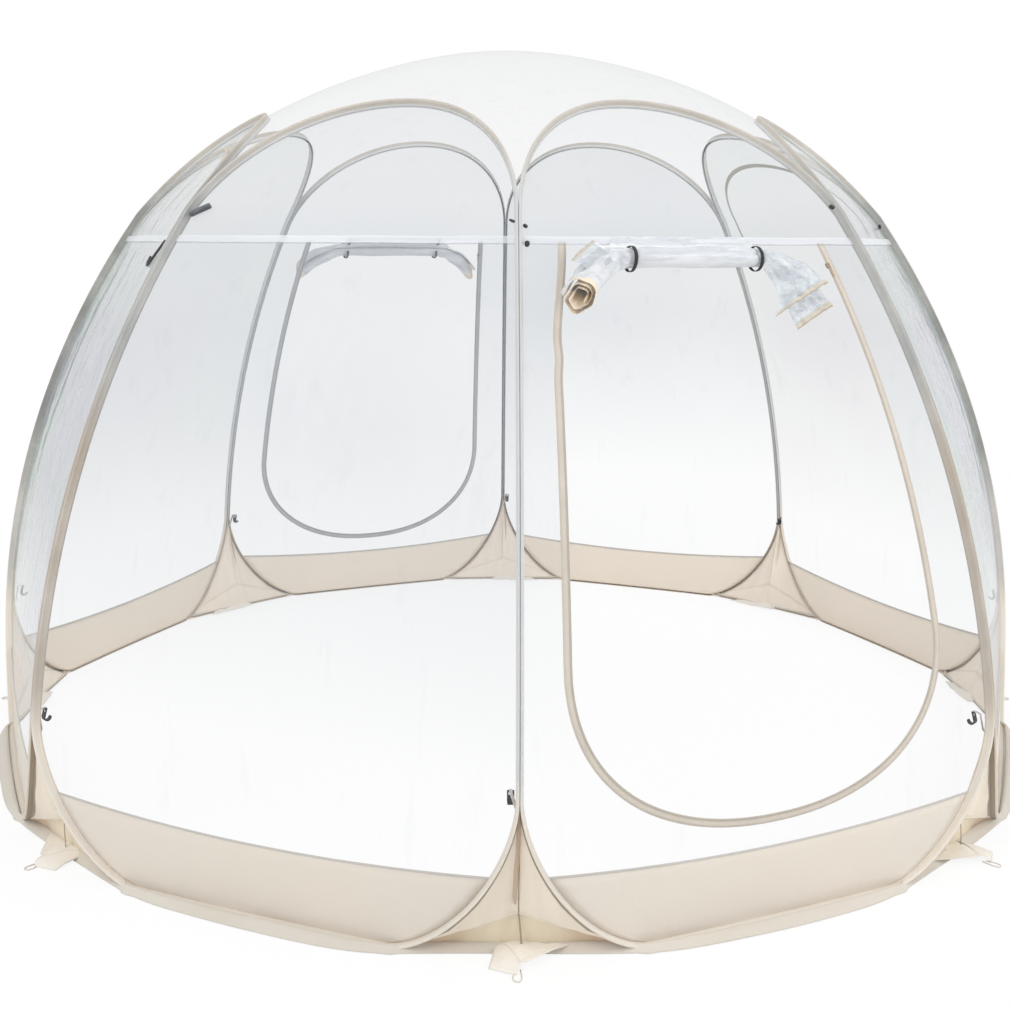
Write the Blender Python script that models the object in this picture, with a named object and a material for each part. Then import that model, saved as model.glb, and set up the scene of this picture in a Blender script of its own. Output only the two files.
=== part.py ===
"""Pop-up bubble tent: eight sprung hoops in sleeves, clear walls, a clear domed roof and a cloth foot.

Metres, +Z up, ground at z = 0, the tent's axis on Z. An azimuth is measured from -Y towards -X.
A panel is modelled in its own frame, with its middle on -Y, and turned to its azimuth. A corner,
where two panels meet, is modelled the same way with the rib between them on -Y.
"""
import bpy
import bmesh
from math import acos, ceil, cos, pi, radians, sin, sqrt, tan
from mathutils import Matrix, Vector

PANELS = ("front_left", "left_front", "left_back", "back_left",
          "back_right", "right_back", "right_front", "front_right")
CORNERS = ("front", "front_left", "left", "back_left", "back", "back_right", "right", "front_right")
DOORS = {"front": "front_right", "back": "back_left"}

# The tent's plan and profile
CORNER_RADIUS = 1.80
APEX_HEIGHT = 2.27
ROOF_ROUNDNESS = 1.75
WALL_ARC_RADIUS = 2.84
WALL_ARC_FOOT = 0.10
SPRING_HEIGHT = 1.72
ARCH_PEAK_HEIGHT = 2.017
ARCH_PEAK_REACH = 0.829
ARCH_FIRST_RISE = 0.386
ARCH_POWER = 2.09
FOOT_CURVE_HEIGHT = 0.408
FOOT_CURVE_WIDTH = 0.327
FOOT_CURVE_POWER = 1.615
FOOT_BOW = 0.022
BOW_HEIGHT = 0.90
SEAM_HEIGHT = 1.655

# Cloth foot
BAND_HEIGHT = 0.215
BAND_SAG = 0.030
BAND_CLOTH = 0.0012
CORNER_LIFT = 0.045
CORNER_BULGE = 0.014
FLAP_WIDTH = 0.042
FLAP_CLOTH = 0.0015
FLAP_FOLD = 0.007
FLAP_TUCK = 0.3
TAB_LENGTH = 0.150
TAB_FOLD = 0.030

# Hoops, sleeves and films
HOOP_DIAMETER = 0.0045
SLEEVE_CLOTH = 0.0015
SLEEVE_DEPTH = 0.024
SLEEVE_INSIDE = 0.006
HOOP_CLEARANCE = 0.00075
WALL_FILM = 0.0010
ROOF_FILM = 0.0010
GAP = 0.0003
SEAM_GAP = 0.0006

# Doors and zips
DOOR_SHARE = 0.79
DOOR_TOP = SEAM_HEIGHT - 0.009
DOOR_BOTTOM = 0.25
DOOR_POWER = 2.2
TAPE_WIDTH = 0.022
TAPE_CLOTH = 0.0018
SLIDER_LENGTH = 0.014
SLIDER_REACH = 0.008
SLIDER_PLATE = 0.0016
SLIDER_CLEARANCE = 0.0008
SLIDER_BELOW_SEAM = 0.060
SLIDER_SIDE = {"front": 1, "back": -1}
PULL_LENGTH = 0.026

# Rolled doors and their ties
ROLL_SHIFT = {"front": -0.038, "back": 0.020}
ROLL_RADIUS = 0.034
ROLL_DROP = 0.085
ROLL_OFF_WALL = 0.007
ROLL_OVERHANG = 0.011
TAIL_FALL = 0.118
TAIL_STATIONS = ((1.0, 0.82), (0.83, 1.29), (0.52, 1.35), (0.20, 1.09))
TAIL_RISE = 0.006
TAIL_ANGLE = radians(125)
TAIL_OPENING = radians(40)
TAIL_POINT = 1.15
TIE_SPREAD = 0.19
TIE_WIDTH = 0.008
TIE_THICKNESS = 0.0016
TIE_SQUEEZE = 0.004
TIE_BACK_SHARE = 0.6

# Hooks on their loops of tape
HOOK_WIDTH = 0.017
HOOK_BAR = 0.004
HOOK_SLOT = 0.0065
HOOK_DROP = 0.021
HOOK_CURL = 0.0095
HOOK_LEAN = radians(17.5)
LOOP_WIDTH = 0.008
LOOP_CLEARANCE = 0.0006
LOOP_ROOM = 0.0008
LOOP_REACH = 0.012
LOOP_HEIGHT = 0.366
LOOP_BACK = 0.009
LOOP_SIDE = -0.020
HOOK_HEIGHT = 0.425

# Mesh steps
BOTTOM_STEPS = 4
FOOT_STEPS = 3
RIB_STEPS = 5
ARCH_STEPS = 6
PANEL_COLUMNS = 6
ROOF_RINGS = (1.0, 0.66, 0.33)
HOOP_SIDES = 5
ROLL_SIDES = 10
DOOR_STEPS_A_ROW = 3
DOOR_SIDE_STEPS = 12
DOOR_CURVE_STEPS = 9

HALF = pi / len(PANELS)
FOOT_REACH = CORNER_RADIUS * cos(HALF)
SLEEVE_WIDTH = HOOP_DIAMETER + 2 * (HOOP_CLEARANCE + SLEEVE_CLOTH)
SLEEVE_OUTSIDE = SLEEVE_DEPTH - SLEEVE_INSIDE

SURFACES = {
    "steel": ((0.55, 0.56, 0.58), 0.35, 1.0, 1.0),
    "sleeve": ((0.80, 0.77, 0.72), 0.8, 0.0, 1.0),
    "film": ((0.90, 0.92, 0.94), 0.1, 0.0, 0.25),
    "cloth": ((0.86, 0.80, 0.73), 0.85, 0.0, 1.0),
    "flap": ((0.91, 0.88, 0.82), 0.85, 0.0, 1.0),
    "tape": ((0.78, 0.73, 0.66), 0.8, 0.0, 1.0),
    "elastic": ((0.03, 0.03, 0.035), 0.9, 0.0, 1.0),
    "hook": ((0.03, 0.03, 0.035), 0.5, 0.0, 1.0),
    "slider": ((0.42, 0.36, 0.28), 0.3, 1.0, 1.0),
}


def clear_scene():
    for thing in list(bpy.data.objects):
        bpy.data.objects.remove(thing, do_unlink=True)


def make_material(name):
    """One Principled material for each kind of stuff."""
    known = bpy.data.materials.get(name)
    if known:
        return known
    colour, roughness, metallic, alpha = SURFACES[name]
    material = bpy.data.materials.new(name)
    material.use_nodes = True
    shader = material.node_tree.nodes["Principled BSDF"]
    shader.inputs["Base Color"].default_value = (*colour, 1.0)
    shader.inputs["Roughness"].default_value = roughness
    shader.inputs["Metallic"].default_value = metallic
    shader.inputs["Alpha"].default_value = alpha
    return material


def panel_azimuth(name):
    return HALF * (2 * PANELS.index(name) + 1)


def corner_azimuth(name):
    return HALF * 2 * CORNERS.index(name)


def place(name, mesh, stuff, azimuth):
    """Put one object with a shared mesh at its azimuth."""
    thing = bpy.data.objects.new(name, mesh)
    bpy.context.scene.collection.objects.link(thing)
    thing.rotation_euler.z = -azimuth
    if not mesh.materials:
        mesh.materials.append(make_material(stuff))
    return thing


def mesh_from(name, points, faces):
    """A mesh with welded points and faces that look outwards."""
    mesh = bpy.data.meshes.new(name)
    work = bmesh.new()
    corners = [work.verts.new(point) for point in points]
    for face in faces:
        work.faces.new([corners[i] for i in face])
    bmesh.ops.remove_doubles(work, verts=work.verts, dist=1e-6)
    bmesh.ops.dissolve_degenerate(work, edges=work.edges, dist=1e-7)
    bmesh.ops.delete(work, geom=[corner for corner in work.verts if not corner.link_faces], context="VERTS")
    bmesh.ops.recalc_face_normals(work, faces=work.faces)
    work.to_mesh(mesh)
    work.free()
    return mesh


def grid_mesh(name, rows, closed=False):
    """An open surface through equal rows of points. Rows may join last to first."""
    across = len(rows[0])
    points = [point for row in rows for point in row]
    faces = []
    for r in range(len(rows) if closed else len(rows) - 1):
        after = (r + 1) % len(rows)
        for c in range(across - 1):
            faces.append((r * across + c, r * across + c + 1, after * across + c + 1, after * across + c))
    return mesh_from(name, points, faces)


def tube_mesh(name, rings, closed=False):
    """A solid through equal rings of points, with flat ends unless it is closed."""
    around = len(rings[0])
    points = [point for ring in rings for point in ring]
    faces = []
    for r in range(len(rings) if closed else len(rings) - 1):
        after = (r + 1) % len(rings)
        for c in range(around):
            d = (c + 1) % around
            faces.append((r * around + c, r * around + d, after * around + d, after * around + c))
    if not closed:
        faces.append(tuple(range(around)))
        faces.append(tuple(range((len(rings) - 1) * around, len(rings) * around)))
    return mesh_from(name, points, faces)


def thicken(thing, thickness, offset=0.0):
    """Turn an open surface into a closed sheet."""
    solid = thing.modifiers.new("thickness", "SOLIDIFY")
    solid.thickness = thickness
    solid.offset = offset
    solid.use_even_offset = True
    return thing


def wall_reach(z):
    """Distance of a panel's middle from the tent's axis, below the arches."""
    rise = max(z - WALL_ARC_FOOT, 0.0)
    return FOOT_REACH - WALL_ARC_RADIUS + sqrt(WALL_ARC_RADIUS ** 2 - rise ** 2)


def wall_normal(z):
    """Outward normal of the wall's profile, as its reach and rise parts."""
    rise = max(z - WALL_ARC_FOOT, 0.0)
    return sqrt(WALL_ARC_RADIUS ** 2 - rise ** 2) / WALL_ARC_RADIUS, rise / WALL_ARC_RADIUS


def half_width(z):
    """Distance of a rib from its panel's middle plane."""
    return wall_reach(z) * tan(HALF)


def rib_reach(z):
    """Distance of a rib from the tent's axis."""
    return wall_reach(z) / cos(HALF)


def bow(x, z):
    """How far the panel swells past its flat plane near the ground."""
    share = min(abs(x) / half_width(z), 1.0)
    return FOOT_BOW * max(1 - z / BOW_HEIGHT, 0.0) ** 1.5 * (1 - share ** 2)


def arch_profile(v):
    """Reach, height and normal of the panel above the spring line, for v from 0 to 1."""
    spring = wall_reach(SPRING_HEIGHT)
    fall = ARCH_PEAK_REACH - spring
    bend = ARCH_PEAK_HEIGHT - SPRING_HEIGHT - ARCH_FIRST_RISE
    slope = ARCH_FIRST_RISE + 2 * bend * v
    length = sqrt(slope ** 2 + fall ** 2)
    height = SPRING_HEIGHT + ARCH_FIRST_RISE * v + bend * v ** 2
    return spring + fall * v, height, (slope / length, -fall / length)


def superellipse(turn, power):
    """Cosine-like and sine-like shares on a superellipse's quarter."""
    return max(cos(turn), 0.0) ** (2 / power), max(sin(turn), 0.0) ** (2 / power)


class Stitch:
    """One point of a hoop's sewing line, with the directions that its pieces follow."""

    def __init__(self, x, reach, z, profile_normal):
        self.place = Vector((x, -reach, z))
        level, up = profile_normal
        radial = Vector((x, -reach, 0)).normalized()
        self.normal = radial * level + Vector((0, 0, up))
        self.panel_normal = Vector((0, -level, up))

    def mirrored(self):
        other = Stitch.__new__(Stitch)
        flip = Matrix.Diagonal((-1, 1, 1))
        other.place = flip @ self.place
        other.normal = flip @ self.normal
        other.panel_normal = self.panel_normal.copy()
        return other

    def settle(self, tangent):
        """Square the directions to the line. inward points into the panel."""
        self.normal = (self.normal - tangent * self.normal.dot(tangent)).normalized()
        self.inward = self.normal.cross(tangent)
        flat = self.panel_normal - tangent * self.panel_normal.dot(tangent)
        self.panel_inward = flat.normalized().cross(tangent)

    def film_edge(self):
        """Where the panel's film or cloth ends beside the sleeve."""
        reach = SLEEVE_WIDTH + GAP / 2 + SEAM_GAP
        return self.place + self.panel_inward * (reach / self.panel_inward.dot(self.inward))

    def outer_edge(self):
        """Where the roof or a gusset ends, on the sleeve's other side."""
        return self.place - self.inward * SEAM_GAP


def side_stitches():
    """The right side's stitches from the foot to the peak."""
    stitches = []
    band_turn = acos((1 - BAND_HEIGHT / FOOT_CURVE_HEIGHT) ** (FOOT_CURVE_POWER / 2))
    turns = [band_turn * i / FOOT_STEPS for i in range(FOOT_STEPS)]
    turns += [band_turn + (pi / 2 - band_turn) * i / FOOT_STEPS for i in range(FOOT_STEPS)]
    for turn in turns:
        fall, run = superellipse(turn, FOOT_CURVE_POWER)
        z = GAP + (FOOT_CURVE_HEIGHT - GAP) * (1 - fall)
        x = half_width(z) - FOOT_CURVE_WIDTH * (1 - run)
        stitches.append(Stitch(x, wall_reach(z) + bow(x, z), z, wall_normal(z)))
    for i in range(RIB_STEPS + 1):
        z = FOOT_CURVE_HEIGHT + (SEAM_HEIGHT - FOOT_CURVE_HEIGHT) * i / RIB_STEPS
        stitches.append(Stitch(half_width(z), wall_reach(z), z, wall_normal(z)))
    for i in range(ARCH_STEPS + 1):
        spread, v = superellipse(pi / 2 * i / ARCH_STEPS, ARCH_POWER)
        reach, z, normal = arch_profile(v)
        stitches.append(Stitch(spread * reach * tan(HALF), reach, z, normal))
    return stitches


def hoop_stitches():
    """The whole closed sewing line: along the ground, up the right side, down the left."""
    side = side_stitches()
    foot = side[0].place.x
    ground = []
    for i in range(1, BOTTOM_STEPS):
        x = foot * (2 * i / BOTTOM_STEPS - 1)
        ground.append(Stitch(x, FOOT_REACH + bow(x, 0), GAP, (1, 0)))
    loop = ground + side + [stitch.mirrored() for stitch in reversed(side[:-1])]
    for before, stitch, after in zip(loop[-1:] + loop[:-1], loop, loop[1:] + loop[:1]):
        stitch.settle((after.place - before.place).normalized())
    return loop, side


LOOP, SIDE = hoop_stitches()
BAND_TOP = FOOT_STEPS
TANGENT = 2 * FOOT_STEPS
SPRING = TANGENT + RIB_STEPS + 1


def sleeve_ring(stitch):
    """A folded tape, open towards the tent's inside."""
    half = SLEEVE_WIDTH / 2
    inner = half - SLEEVE_CLOTH
    top = SLEEVE_OUTSIDE - SLEEVE_CLOTH
    outline = [(-half, -SLEEVE_INSIDE), (-half, SLEEVE_OUTSIDE), (half, SLEEVE_OUTSIDE),
               (half, -SLEEVE_INSIDE), (inner, -SLEEVE_INSIDE), (inner, top), (-inner, top),
               (-inner, -SLEEVE_INSIDE)]
    middle = stitch.place + stitch.inward * (half + GAP / 2)
    return [middle + stitch.inward * across + stitch.normal * out for across, out in outline]


def hoop_ring(stitch):
    """The sprung hoop, in the fold of its sleeve."""
    radius = HOOP_DIAMETER / 2
    out = SLEEVE_OUTSIDE - SLEEVE_CLOTH - HOOP_CLEARANCE - radius
    middle = stitch.place + stitch.inward * (SLEEVE_WIDTH / 2 + GAP / 2) + stitch.normal * out
    ring = []
    for i in range(HOOP_SIDES):
        turn = 2 * pi * i / HOOP_SIDES
        ring.append(middle + stitch.inward * (radius * cos(turn)) + stitch.normal * (radius * sin(turn)))
    return ring


def panel_row(edge, columns, sag=0.0, lift=0.0):
    """Points across a panel between its two film edges, which mirror each other."""
    row = []
    for c in range(columns + 1):
        share = 2 * c / columns - 1
        x = share * edge.x
        y = edge.y - (bow(x, edge.z) - bow(edge.x, edge.z))
        row.append(Vector((x, y, edge.z - sag * (1 - share ** 2) + lift)))
    return row


def make_hoops():
    hoop = tube_mesh("hoop", [hoop_ring(stitch) for stitch in LOOP], closed=True)
    sleeve = tube_mesh("sleeve", [sleeve_ring(stitch) for stitch in LOOP], closed=True)
    for name in PANELS:
        place(f"hoop_{name}", hoop, "steel", panel_azimuth(name))
        place(f"sleeve_{name}", sleeve, "sleeve", panel_azimuth(name))


def make_bands():
    """The cloth bands, each from its hoop's foot to the sagging top edge."""
    edges = [stitch.film_edge() for stitch in SIDE[:BAND_TOP + 1]]
    rows = [panel_row(edge, PANEL_COLUMNS) for edge in edges[:-1]]
    rows.append(panel_row(edges[-1], PANEL_COLUMNS, sag=BAND_SAG))
    mesh = grid_mesh("band", rows)
    for name in PANELS:
        thicken(place(f"band_{name}", mesh, "cloth", panel_azimuth(name)), BAND_CLOTH)


def rib_height(step):
    """Heights down a rib from the seam, in the door's steps."""
    return SEAM_HEIGHT - (SEAM_HEIGHT - FOOT_CURVE_HEIGHT) * step / (RIB_STEPS * DOOR_STEPS_A_ROW)


def door_outline():
    """The right half of the door's edge as (x, z), from the seam down to the middle."""
    heights = [min(rib_height(i), DOOR_TOP) for i in range(DOOR_SIDE_STEPS + 1)]
    points = [(DOOR_SHARE * half_width(z), z) for z in heights]
    widest, curve_top = points[-1]
    for i in range(1, DOOR_CURVE_STEPS + 1):
        run, fall = superellipse(pi / 2 * i / DOOR_CURVE_STEPS, DOOR_POWER)
        points.append((widest * run, curve_top - (curve_top - DOOR_BOTTOM) * fall))
    return points


def inset_outline(points, distance):
    """The outline moved towards the door's middle."""
    moved = []
    for i, (x, z) in enumerate(points):
        before = Vector(points[max(i - 1, 0)])
        after = Vector(points[i + 1]) if i + 1 < len(points) else Vector((-points[i - 1][0], points[i - 1][1]))
        along = (after - before).normalized()
        moved.append((x + along.y * distance, z - along.x * distance))
    moved[0] = (moved[0][0], points[0][1] - SEAM_GAP)
    return moved


def wall_point(x, z, out=0.0):
    """A point on a panel's outer surface below the spring line, moved outwards by out."""
    level, up = wall_normal(z)
    reach = wall_reach(z) + bow(x, z)
    return Vector((x, -reach - out * level, z + out * up))


def edge_at(edges, z):
    """The point at a height on the film's edge."""
    for low, high in zip(edges, edges[1:]):
        if low.z <= z <= high.z:
            return low.lerp(high, (z - low.z) / (high.z - low.z))
    return edges[-1]


def door_wall(edges, band_row):
    """A wall with a door's opening: strips from the film's edge to the door's, and rows above."""
    door = [wall_point(x, z) for x, z in door_outline()]
    outer = [edge_at(edges, point.z) for point in door[:DOOR_SIDE_STEPS + 1]]
    outer += [edge_at(edges, rib_height(i)) for i in range(DOOR_SIDE_STEPS + 1, RIB_STEPS * DOOR_STEPS_A_ROW)]
    outer += reversed(edges[1:TANGENT - BAND_TOP + 1])
    outer += reversed(band_row[PANEL_COLUMNS // 2:])
    flip = Matrix.Diagonal((-1, 1, 1))
    right = [(a, a.lerp(b, 0.5), b) for a, b in zip(outer, door)]
    left = [tuple(flip @ point for point in strip) for strip in right]
    strips = right + list(reversed(left[:-1]))
    first = list(left[0]) + [left[0][2].lerp(right[0][2], part) for part in (1 / 3, 2 / 3)]
    first += reversed(right[0])
    rows = [first]
    for edge in edges:
        if edge.z > DOOR_TOP:
            rows.append([Vector((point.x / outer[0].x * edge.x, edge.y, edge.z)) for point in first])
    points, faces = [], []
    for grid in (strips, rows):
        start, across = len(points), len(grid[0])
        points += [point for row in grid for point in row]
        for r in range(len(grid) - 1):
            for c in range(across - 1):
                a, b = start + r * across + c, start + (r + 1) * across + c
                faces.append((a, a + 1, b + 1, b))
    return mesh_from("door_wall", points, faces)


def make_walls():
    """The clear walls. Two of them have a door's opening."""
    edges = [stitch.film_edge() for stitch in SIDE[BAND_TOP:]]
    band_row = panel_row(edges[0], PANEL_COLUMNS, sag=BAND_SAG, lift=SEAM_GAP)
    plain = grid_mesh("wall", [band_row] + [panel_row(edge, PANEL_COLUMNS) for edge in edges[1:]])
    with_door = door_wall(edges, band_row)
    for name in PANELS:
        mesh = with_door if name in DOORS.values() else plain
        thicken(place(f"wall_{name}", mesh, "film", panel_azimuth(name)), WALL_FILM)


def make_roof():
    """The clear roof, from the arches and the points between them up to the apex."""
    arch = [stitch.outer_edge() for stitch in SIDE[SPRING + 1:]]
    low, high = SIDE[SPRING].place, SIDE[SPRING + 1].place
    tip = (Matrix.Rotation(-HALF, 3, "Z") @ (low + high) / 2)
    tip.x = 0.0
    tip = Matrix.Rotation(HALF, 3, "Z") @ tip
    half = [tip] + arch
    panel_edge = half + [Matrix.Diagonal((-1, 1, 1)) @ point for point in reversed(half[:-1])]
    rows = []
    for name in reversed(PANELS):
        turn = Matrix.Rotation(-panel_azimuth(name), 3, "Z")
        for point in reversed(panel_edge[1:]):
            edge = turn @ point
            row = []
            for share in ROOF_RINGS + (0.0,):
                fall = (APEX_HEIGHT - edge.z) * share ** ROOF_ROUNDNESS
                row.append(Vector((edge.x * share, edge.y * share, APEX_HEIGHT - fall)))
            rows.append(row)
    mesh = grid_mesh("roof", rows, closed=True)
    thicken(place("roof_cap", mesh, "film", 0.0), ROOF_FILM)


def corner_stitches():
    """The foot curve's stitches of the panel to the left of a corner, in the corner's frame."""
    turn = Matrix.Rotation(-HALF, 3, "Z")
    return [turn @ stitch.outer_edge() for stitch in SIDE[1:TANGENT]]


def gusset_columns():
    """Top and bottom points of a gusset across a corner, from left to right."""
    foot = Matrix.Rotation(-HALF, 3, "Z") @ SIDE[0].place
    left = []
    half = LOOP_WIDTH / 2
    tops = corner_stitches() + [Vector((-half, -rib_reach(LOOP_HEIGHT), LOOP_HEIGHT))]
    for top in tops:
        inside = 1 - min(top.x / foot.x, 1.0)
        reach = -foot.y + CORNER_BULGE * inside
        low = CORNER_LIFT * inside ** 1.5 + FLAP_CLOTH + SEAM_GAP
        left.append((top, Vector((top.x, -reach, low))))
    flip = Matrix.Diagonal((-1, 1, 1))
    return left + [(flip @ high, flip @ low) for high, low in reversed(left)]


LOOP_RADIUS = HOOK_BAR / sqrt(2) + LOOP_CLEARANCE + BAND_CLOTH / 2
BAR_REACH = rib_reach(HOOK_HEIGHT) - SLEEVE_INSIDE - LOOP_BACK - LOOP_REACH - LOOP_RADIUS - BAND_CLOTH / 2
BAR_HEIGHT = HOOK_HEIGHT - LOOP_RADIUS


def loop_path():
    """The tape from the gusset's top, up behind the sleeves and round the hook's bar, as (x, reach, z)."""
    path = [(x, rib_reach(z) - SLEEVE_INSIDE - LOOP_BACK, z) for x, z in ((0, LOOP_HEIGHT), (LOOP_SIDE, HOOK_HEIGHT))]
    for i in range(6):
        turn = radians(80 + 50 * i)
        path.append((LOOP_SIDE, BAR_REACH + LOOP_RADIUS * cos(turn), BAR_HEIGHT + LOOP_RADIUS * sin(turn)))
    return path


def make_gussets():
    """Each corner's cloth, pinned out from the rib's foot, with the hook's tape loop."""
    columns = gusset_columns()
    points, faces = [], []
    for high, low in columns:
        points += [high, (high + low) / 2, low]
    for c in range(len(columns) - 1):
        for r in range(2):
            faces.append((3 * c + r, 3 * c + r + 1, 3 * c + r + 4, 3 * c + r + 3))
    middle = len(columns) // 2 - 1
    last = (3 * middle, 3 * middle + 3)
    for x, reach, z in loop_path():
        here = (len(points), len(points) + 1)
        points += [Vector((x - LOOP_WIDTH / 2, -reach, z)), Vector((x + LOOP_WIDTH / 2, -reach, z))]
        faces.append((last[0], last[1], here[1], here[0]))
        last = here
    mesh = mesh_from("gusset", points, faces)
    for name in CORNERS:
        thicken(place(f"gusset_{name}", mesh, "cloth", corner_azimuth(name)), BAND_CLOTH)


def flap_at_corner():
    """The flap's rows from a corner's foot to its middle, in the corner's frame."""
    columns = gusset_columns()
    rows = []
    for high, low in columns[:len(columns) // 2]:
        ground = Vector((low.x, low.y, 0.0))
        out = ground.normalized()
        inner = Vector((low.x, low.y, low.z - SEAM_GAP - FLAP_CLOTH))
        width, crease = (TAB_LENGTH, TAB_FOLD) if high.z >= BAND_HEIGHT - SEAM_GAP else (FLAP_WIDTH, FLAP_WIDTH / 2)
        rows.append((inner, ground + out * crease, ground + out * width))
    return rows


def flap_at_panel():
    """The flap's rows along a panel's foot, outside the sleeve, in the panel's frame."""
    ends = [SIDE[0].place.lerp(SIDE[1].place, FLAP_TUCK), SIDE[0].place]
    feet = [Vector((-point.x, point.y, 0)) for point in ends]
    feet += [Vector((stitch.place.x, stitch.place.y, 0)) for stitch in LOOP[:BOTTOM_STEPS - 1]]
    feet += [Vector((point.x, point.y, 0)) for point in reversed(ends)]
    rows = []
    for i, foot in enumerate(feet):
        out = foot.normalized()
        inner = foot + out * (SLEEVE_OUTSIDE + 2 * SEAM_GAP)
        fold = Vector((0, 0, 0 if i % 2 else FLAP_FOLD))
        rows.append((inner, inner + out * (FLAP_WIDTH / 2) + fold, inner + out * FLAP_WIDTH))
    return rows


def make_flap():
    """The flap on the ground outside the foot, with a peg tab at each corner."""
    turn, flip = Matrix.Rotation(HALF, 3, "Z"), Matrix.Diagonal((-1, 1, 1))
    right = [[turn @ point for point in row] for row in flap_at_corner()]
    left = [[flip @ point for point in row] for row in reversed(right)]
    sector = left + flap_at_panel() + right
    rows = []
    for name in PANELS:
        turn = Matrix.Rotation(-panel_azimuth(name), 3, "Z")
        rows += [[turn @ point for point in row] for row in reversed(sector)]
    mesh = grid_mesh("flap", rows, closed=True)
    upward = sum(face.normal.z for face in mesh.polygons) > 0
    thicken(place("ground_flap", mesh, "flap", 0.0), FLAP_CLOTH, offset=1.0 if upward else -1.0)


def make_zips():
    """Each door's zip tape, along its opening's sides and bottom."""
    outer = inset_outline(door_outline(), SEAM_GAP)
    inner = inset_outline(door_outline(), SEAM_GAP + TAPE_WIDTH)
    right = [[wall_point(*a), wall_point(*b)] for a, b in zip(outer, inner)]
    left = [[wall_point(-a[0], a[1]), wall_point(-b[0], b[1])] for a, b in zip(outer, inner)]
    mesh = grid_mesh("zip", right + list(reversed(left[:-1])))
    for door, panel in DOORS.items():
        thicken(place(f"{door}_door_zip", mesh, "tape", panel_azimuth(panel)), TAPE_CLOTH)


def slider_frame(side):
    """The slider's middle and its directions: down the tape, towards the door's middle, outwards."""
    inner = inset_outline(door_outline(), SEAM_GAP + TAPE_WIDTH)
    high, low = [wall_point(side * x, z) for x, z in inner[:2]]
    down = (low - high).normalized()
    level, up = wall_normal(SEAM_HEIGHT - SLIDER_BELOW_SEAM)
    out = Vector((0, -level, up))
    out = (out - down * out.dot(down)).normalized()
    inward = out.cross(down)
    if inward.x * side > 0:
        inward = -inward
    share = SLIDER_BELOW_SEAM / (high.z - low.z)
    return high.lerp(low, share), down, inward, out


def make_sliders():
    """A slider that grips its tape's inner edge, with its pull."""
    face = TAPE_CLOTH / 2 + SLIDER_CLEARANCE
    back = face + SLIDER_PLATE
    web = SLIDER_CLEARANCE
    end = web + SLIDER_PLATE
    outline = [(-SLIDER_REACH, face), (web, face), (web, -face), (-SLIDER_REACH, -face),
               (-SLIDER_REACH, -back), (end, -back), (end, back), (web, back), (-SLIDER_REACH, back)]
    plate, rest = (0, 1, 7, 8), (1, 2, 3, 4, 5, 6, 7)
    for door, panel in DOORS.items():
        middle, down, inward, out = slider_frame(SLIDER_SIDE[door])
        points = []
        for along in (-SLIDER_LENGTH / 2, SLIDER_LENGTH / 2, SLIDER_LENGTH / 2 + PULL_LENGTH):
            points += [middle + down * along + inward * a + out * n for a, n in outline]
        count = len(outline)
        faces = [tuple(range(count)), tuple(count + i for i in rest), tuple(2 * count + i for i in plate)]
        faces += [(i, (i + 1) % count, count + (i + 1) % count, count + i) for i in range(count)]
        for i, j in zip(plate, plate[1:] + plate[:1]):
            faces.append((count + i, count + j, 2 * count + j, 2 * count + i))
        mesh = mesh_from(f"{door}_slider", points, faces)
        place(f"{door}_door_slider", mesh, "slider", panel_azimuth(panel))


def roll_stations(shift):
    """The rolled door from end to end: x, distance below its seam, radius."""
    seat = ROLL_RADIUS - TIE_SQUEEZE
    near, far = TIE_SPREAD - TIE_WIDTH, TIE_SPREAD + TIE_WIDTH
    tail = DOOR_SHARE * half_width(DOOR_TOP) + ROLL_OVERHANG - far
    half = [(-far - tail * share, ROLL_DROP + TAIL_FALL * share ** 2, ROLL_RADIUS * swell)
            for share, swell in TAIL_STATIONS]
    half += [(-far, ROLL_DROP, seat), (-near, ROLL_DROP, seat), (-near * 2 / 3, ROLL_DROP, ROLL_RADIUS)]
    stations = half + [(0.0, ROLL_DROP, ROLL_RADIUS)] + [(-x, drop, r) for x, drop, r in reversed(half)]
    return [(x + shift, drop, radius) for x, drop, radius in stations]


def roll_ring(x, drop, radius, along):
    """A round ring that lies on the sloping wall, with a tail that reaches its seam."""
    level, up = wall_normal(SEAM_HEIGHT)
    out, down = Vector((0, -level, up)), Vector((0, -up, -level))
    seam = Vector((x, -wall_reach(SEAM_HEIGHT), SEAM_HEIGHT))
    middle = seam + down * drop + out * (radius + ROLL_OFF_WALL)
    direction = (Vector((1, 0, 0)) * along.x + down * along.y).normalized()
    high = out.cross(direction)
    if high.z < 0:
        high = -high
    ring = []
    for i in range(ROLL_SIDES):
        turn = TAIL_ANGLE - TAIL_OPENING / 2 - (2 * pi - TAIL_OPENING) * (i + 0.5) / ROLL_SIDES
        ring.append(middle + out * (radius * cos(turn)) + high * (radius * sin(turn)))
    tail = seam + out * (WALL_FILM / 2 + SEAM_GAP) - down * TAIL_RISE
    if drop > ROLL_DROP:
        tail = middle + (out * cos(TAIL_ANGLE) + high * sin(TAIL_ANGLE)) * radius * TAIL_POINT
    return ring + [tail]


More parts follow.
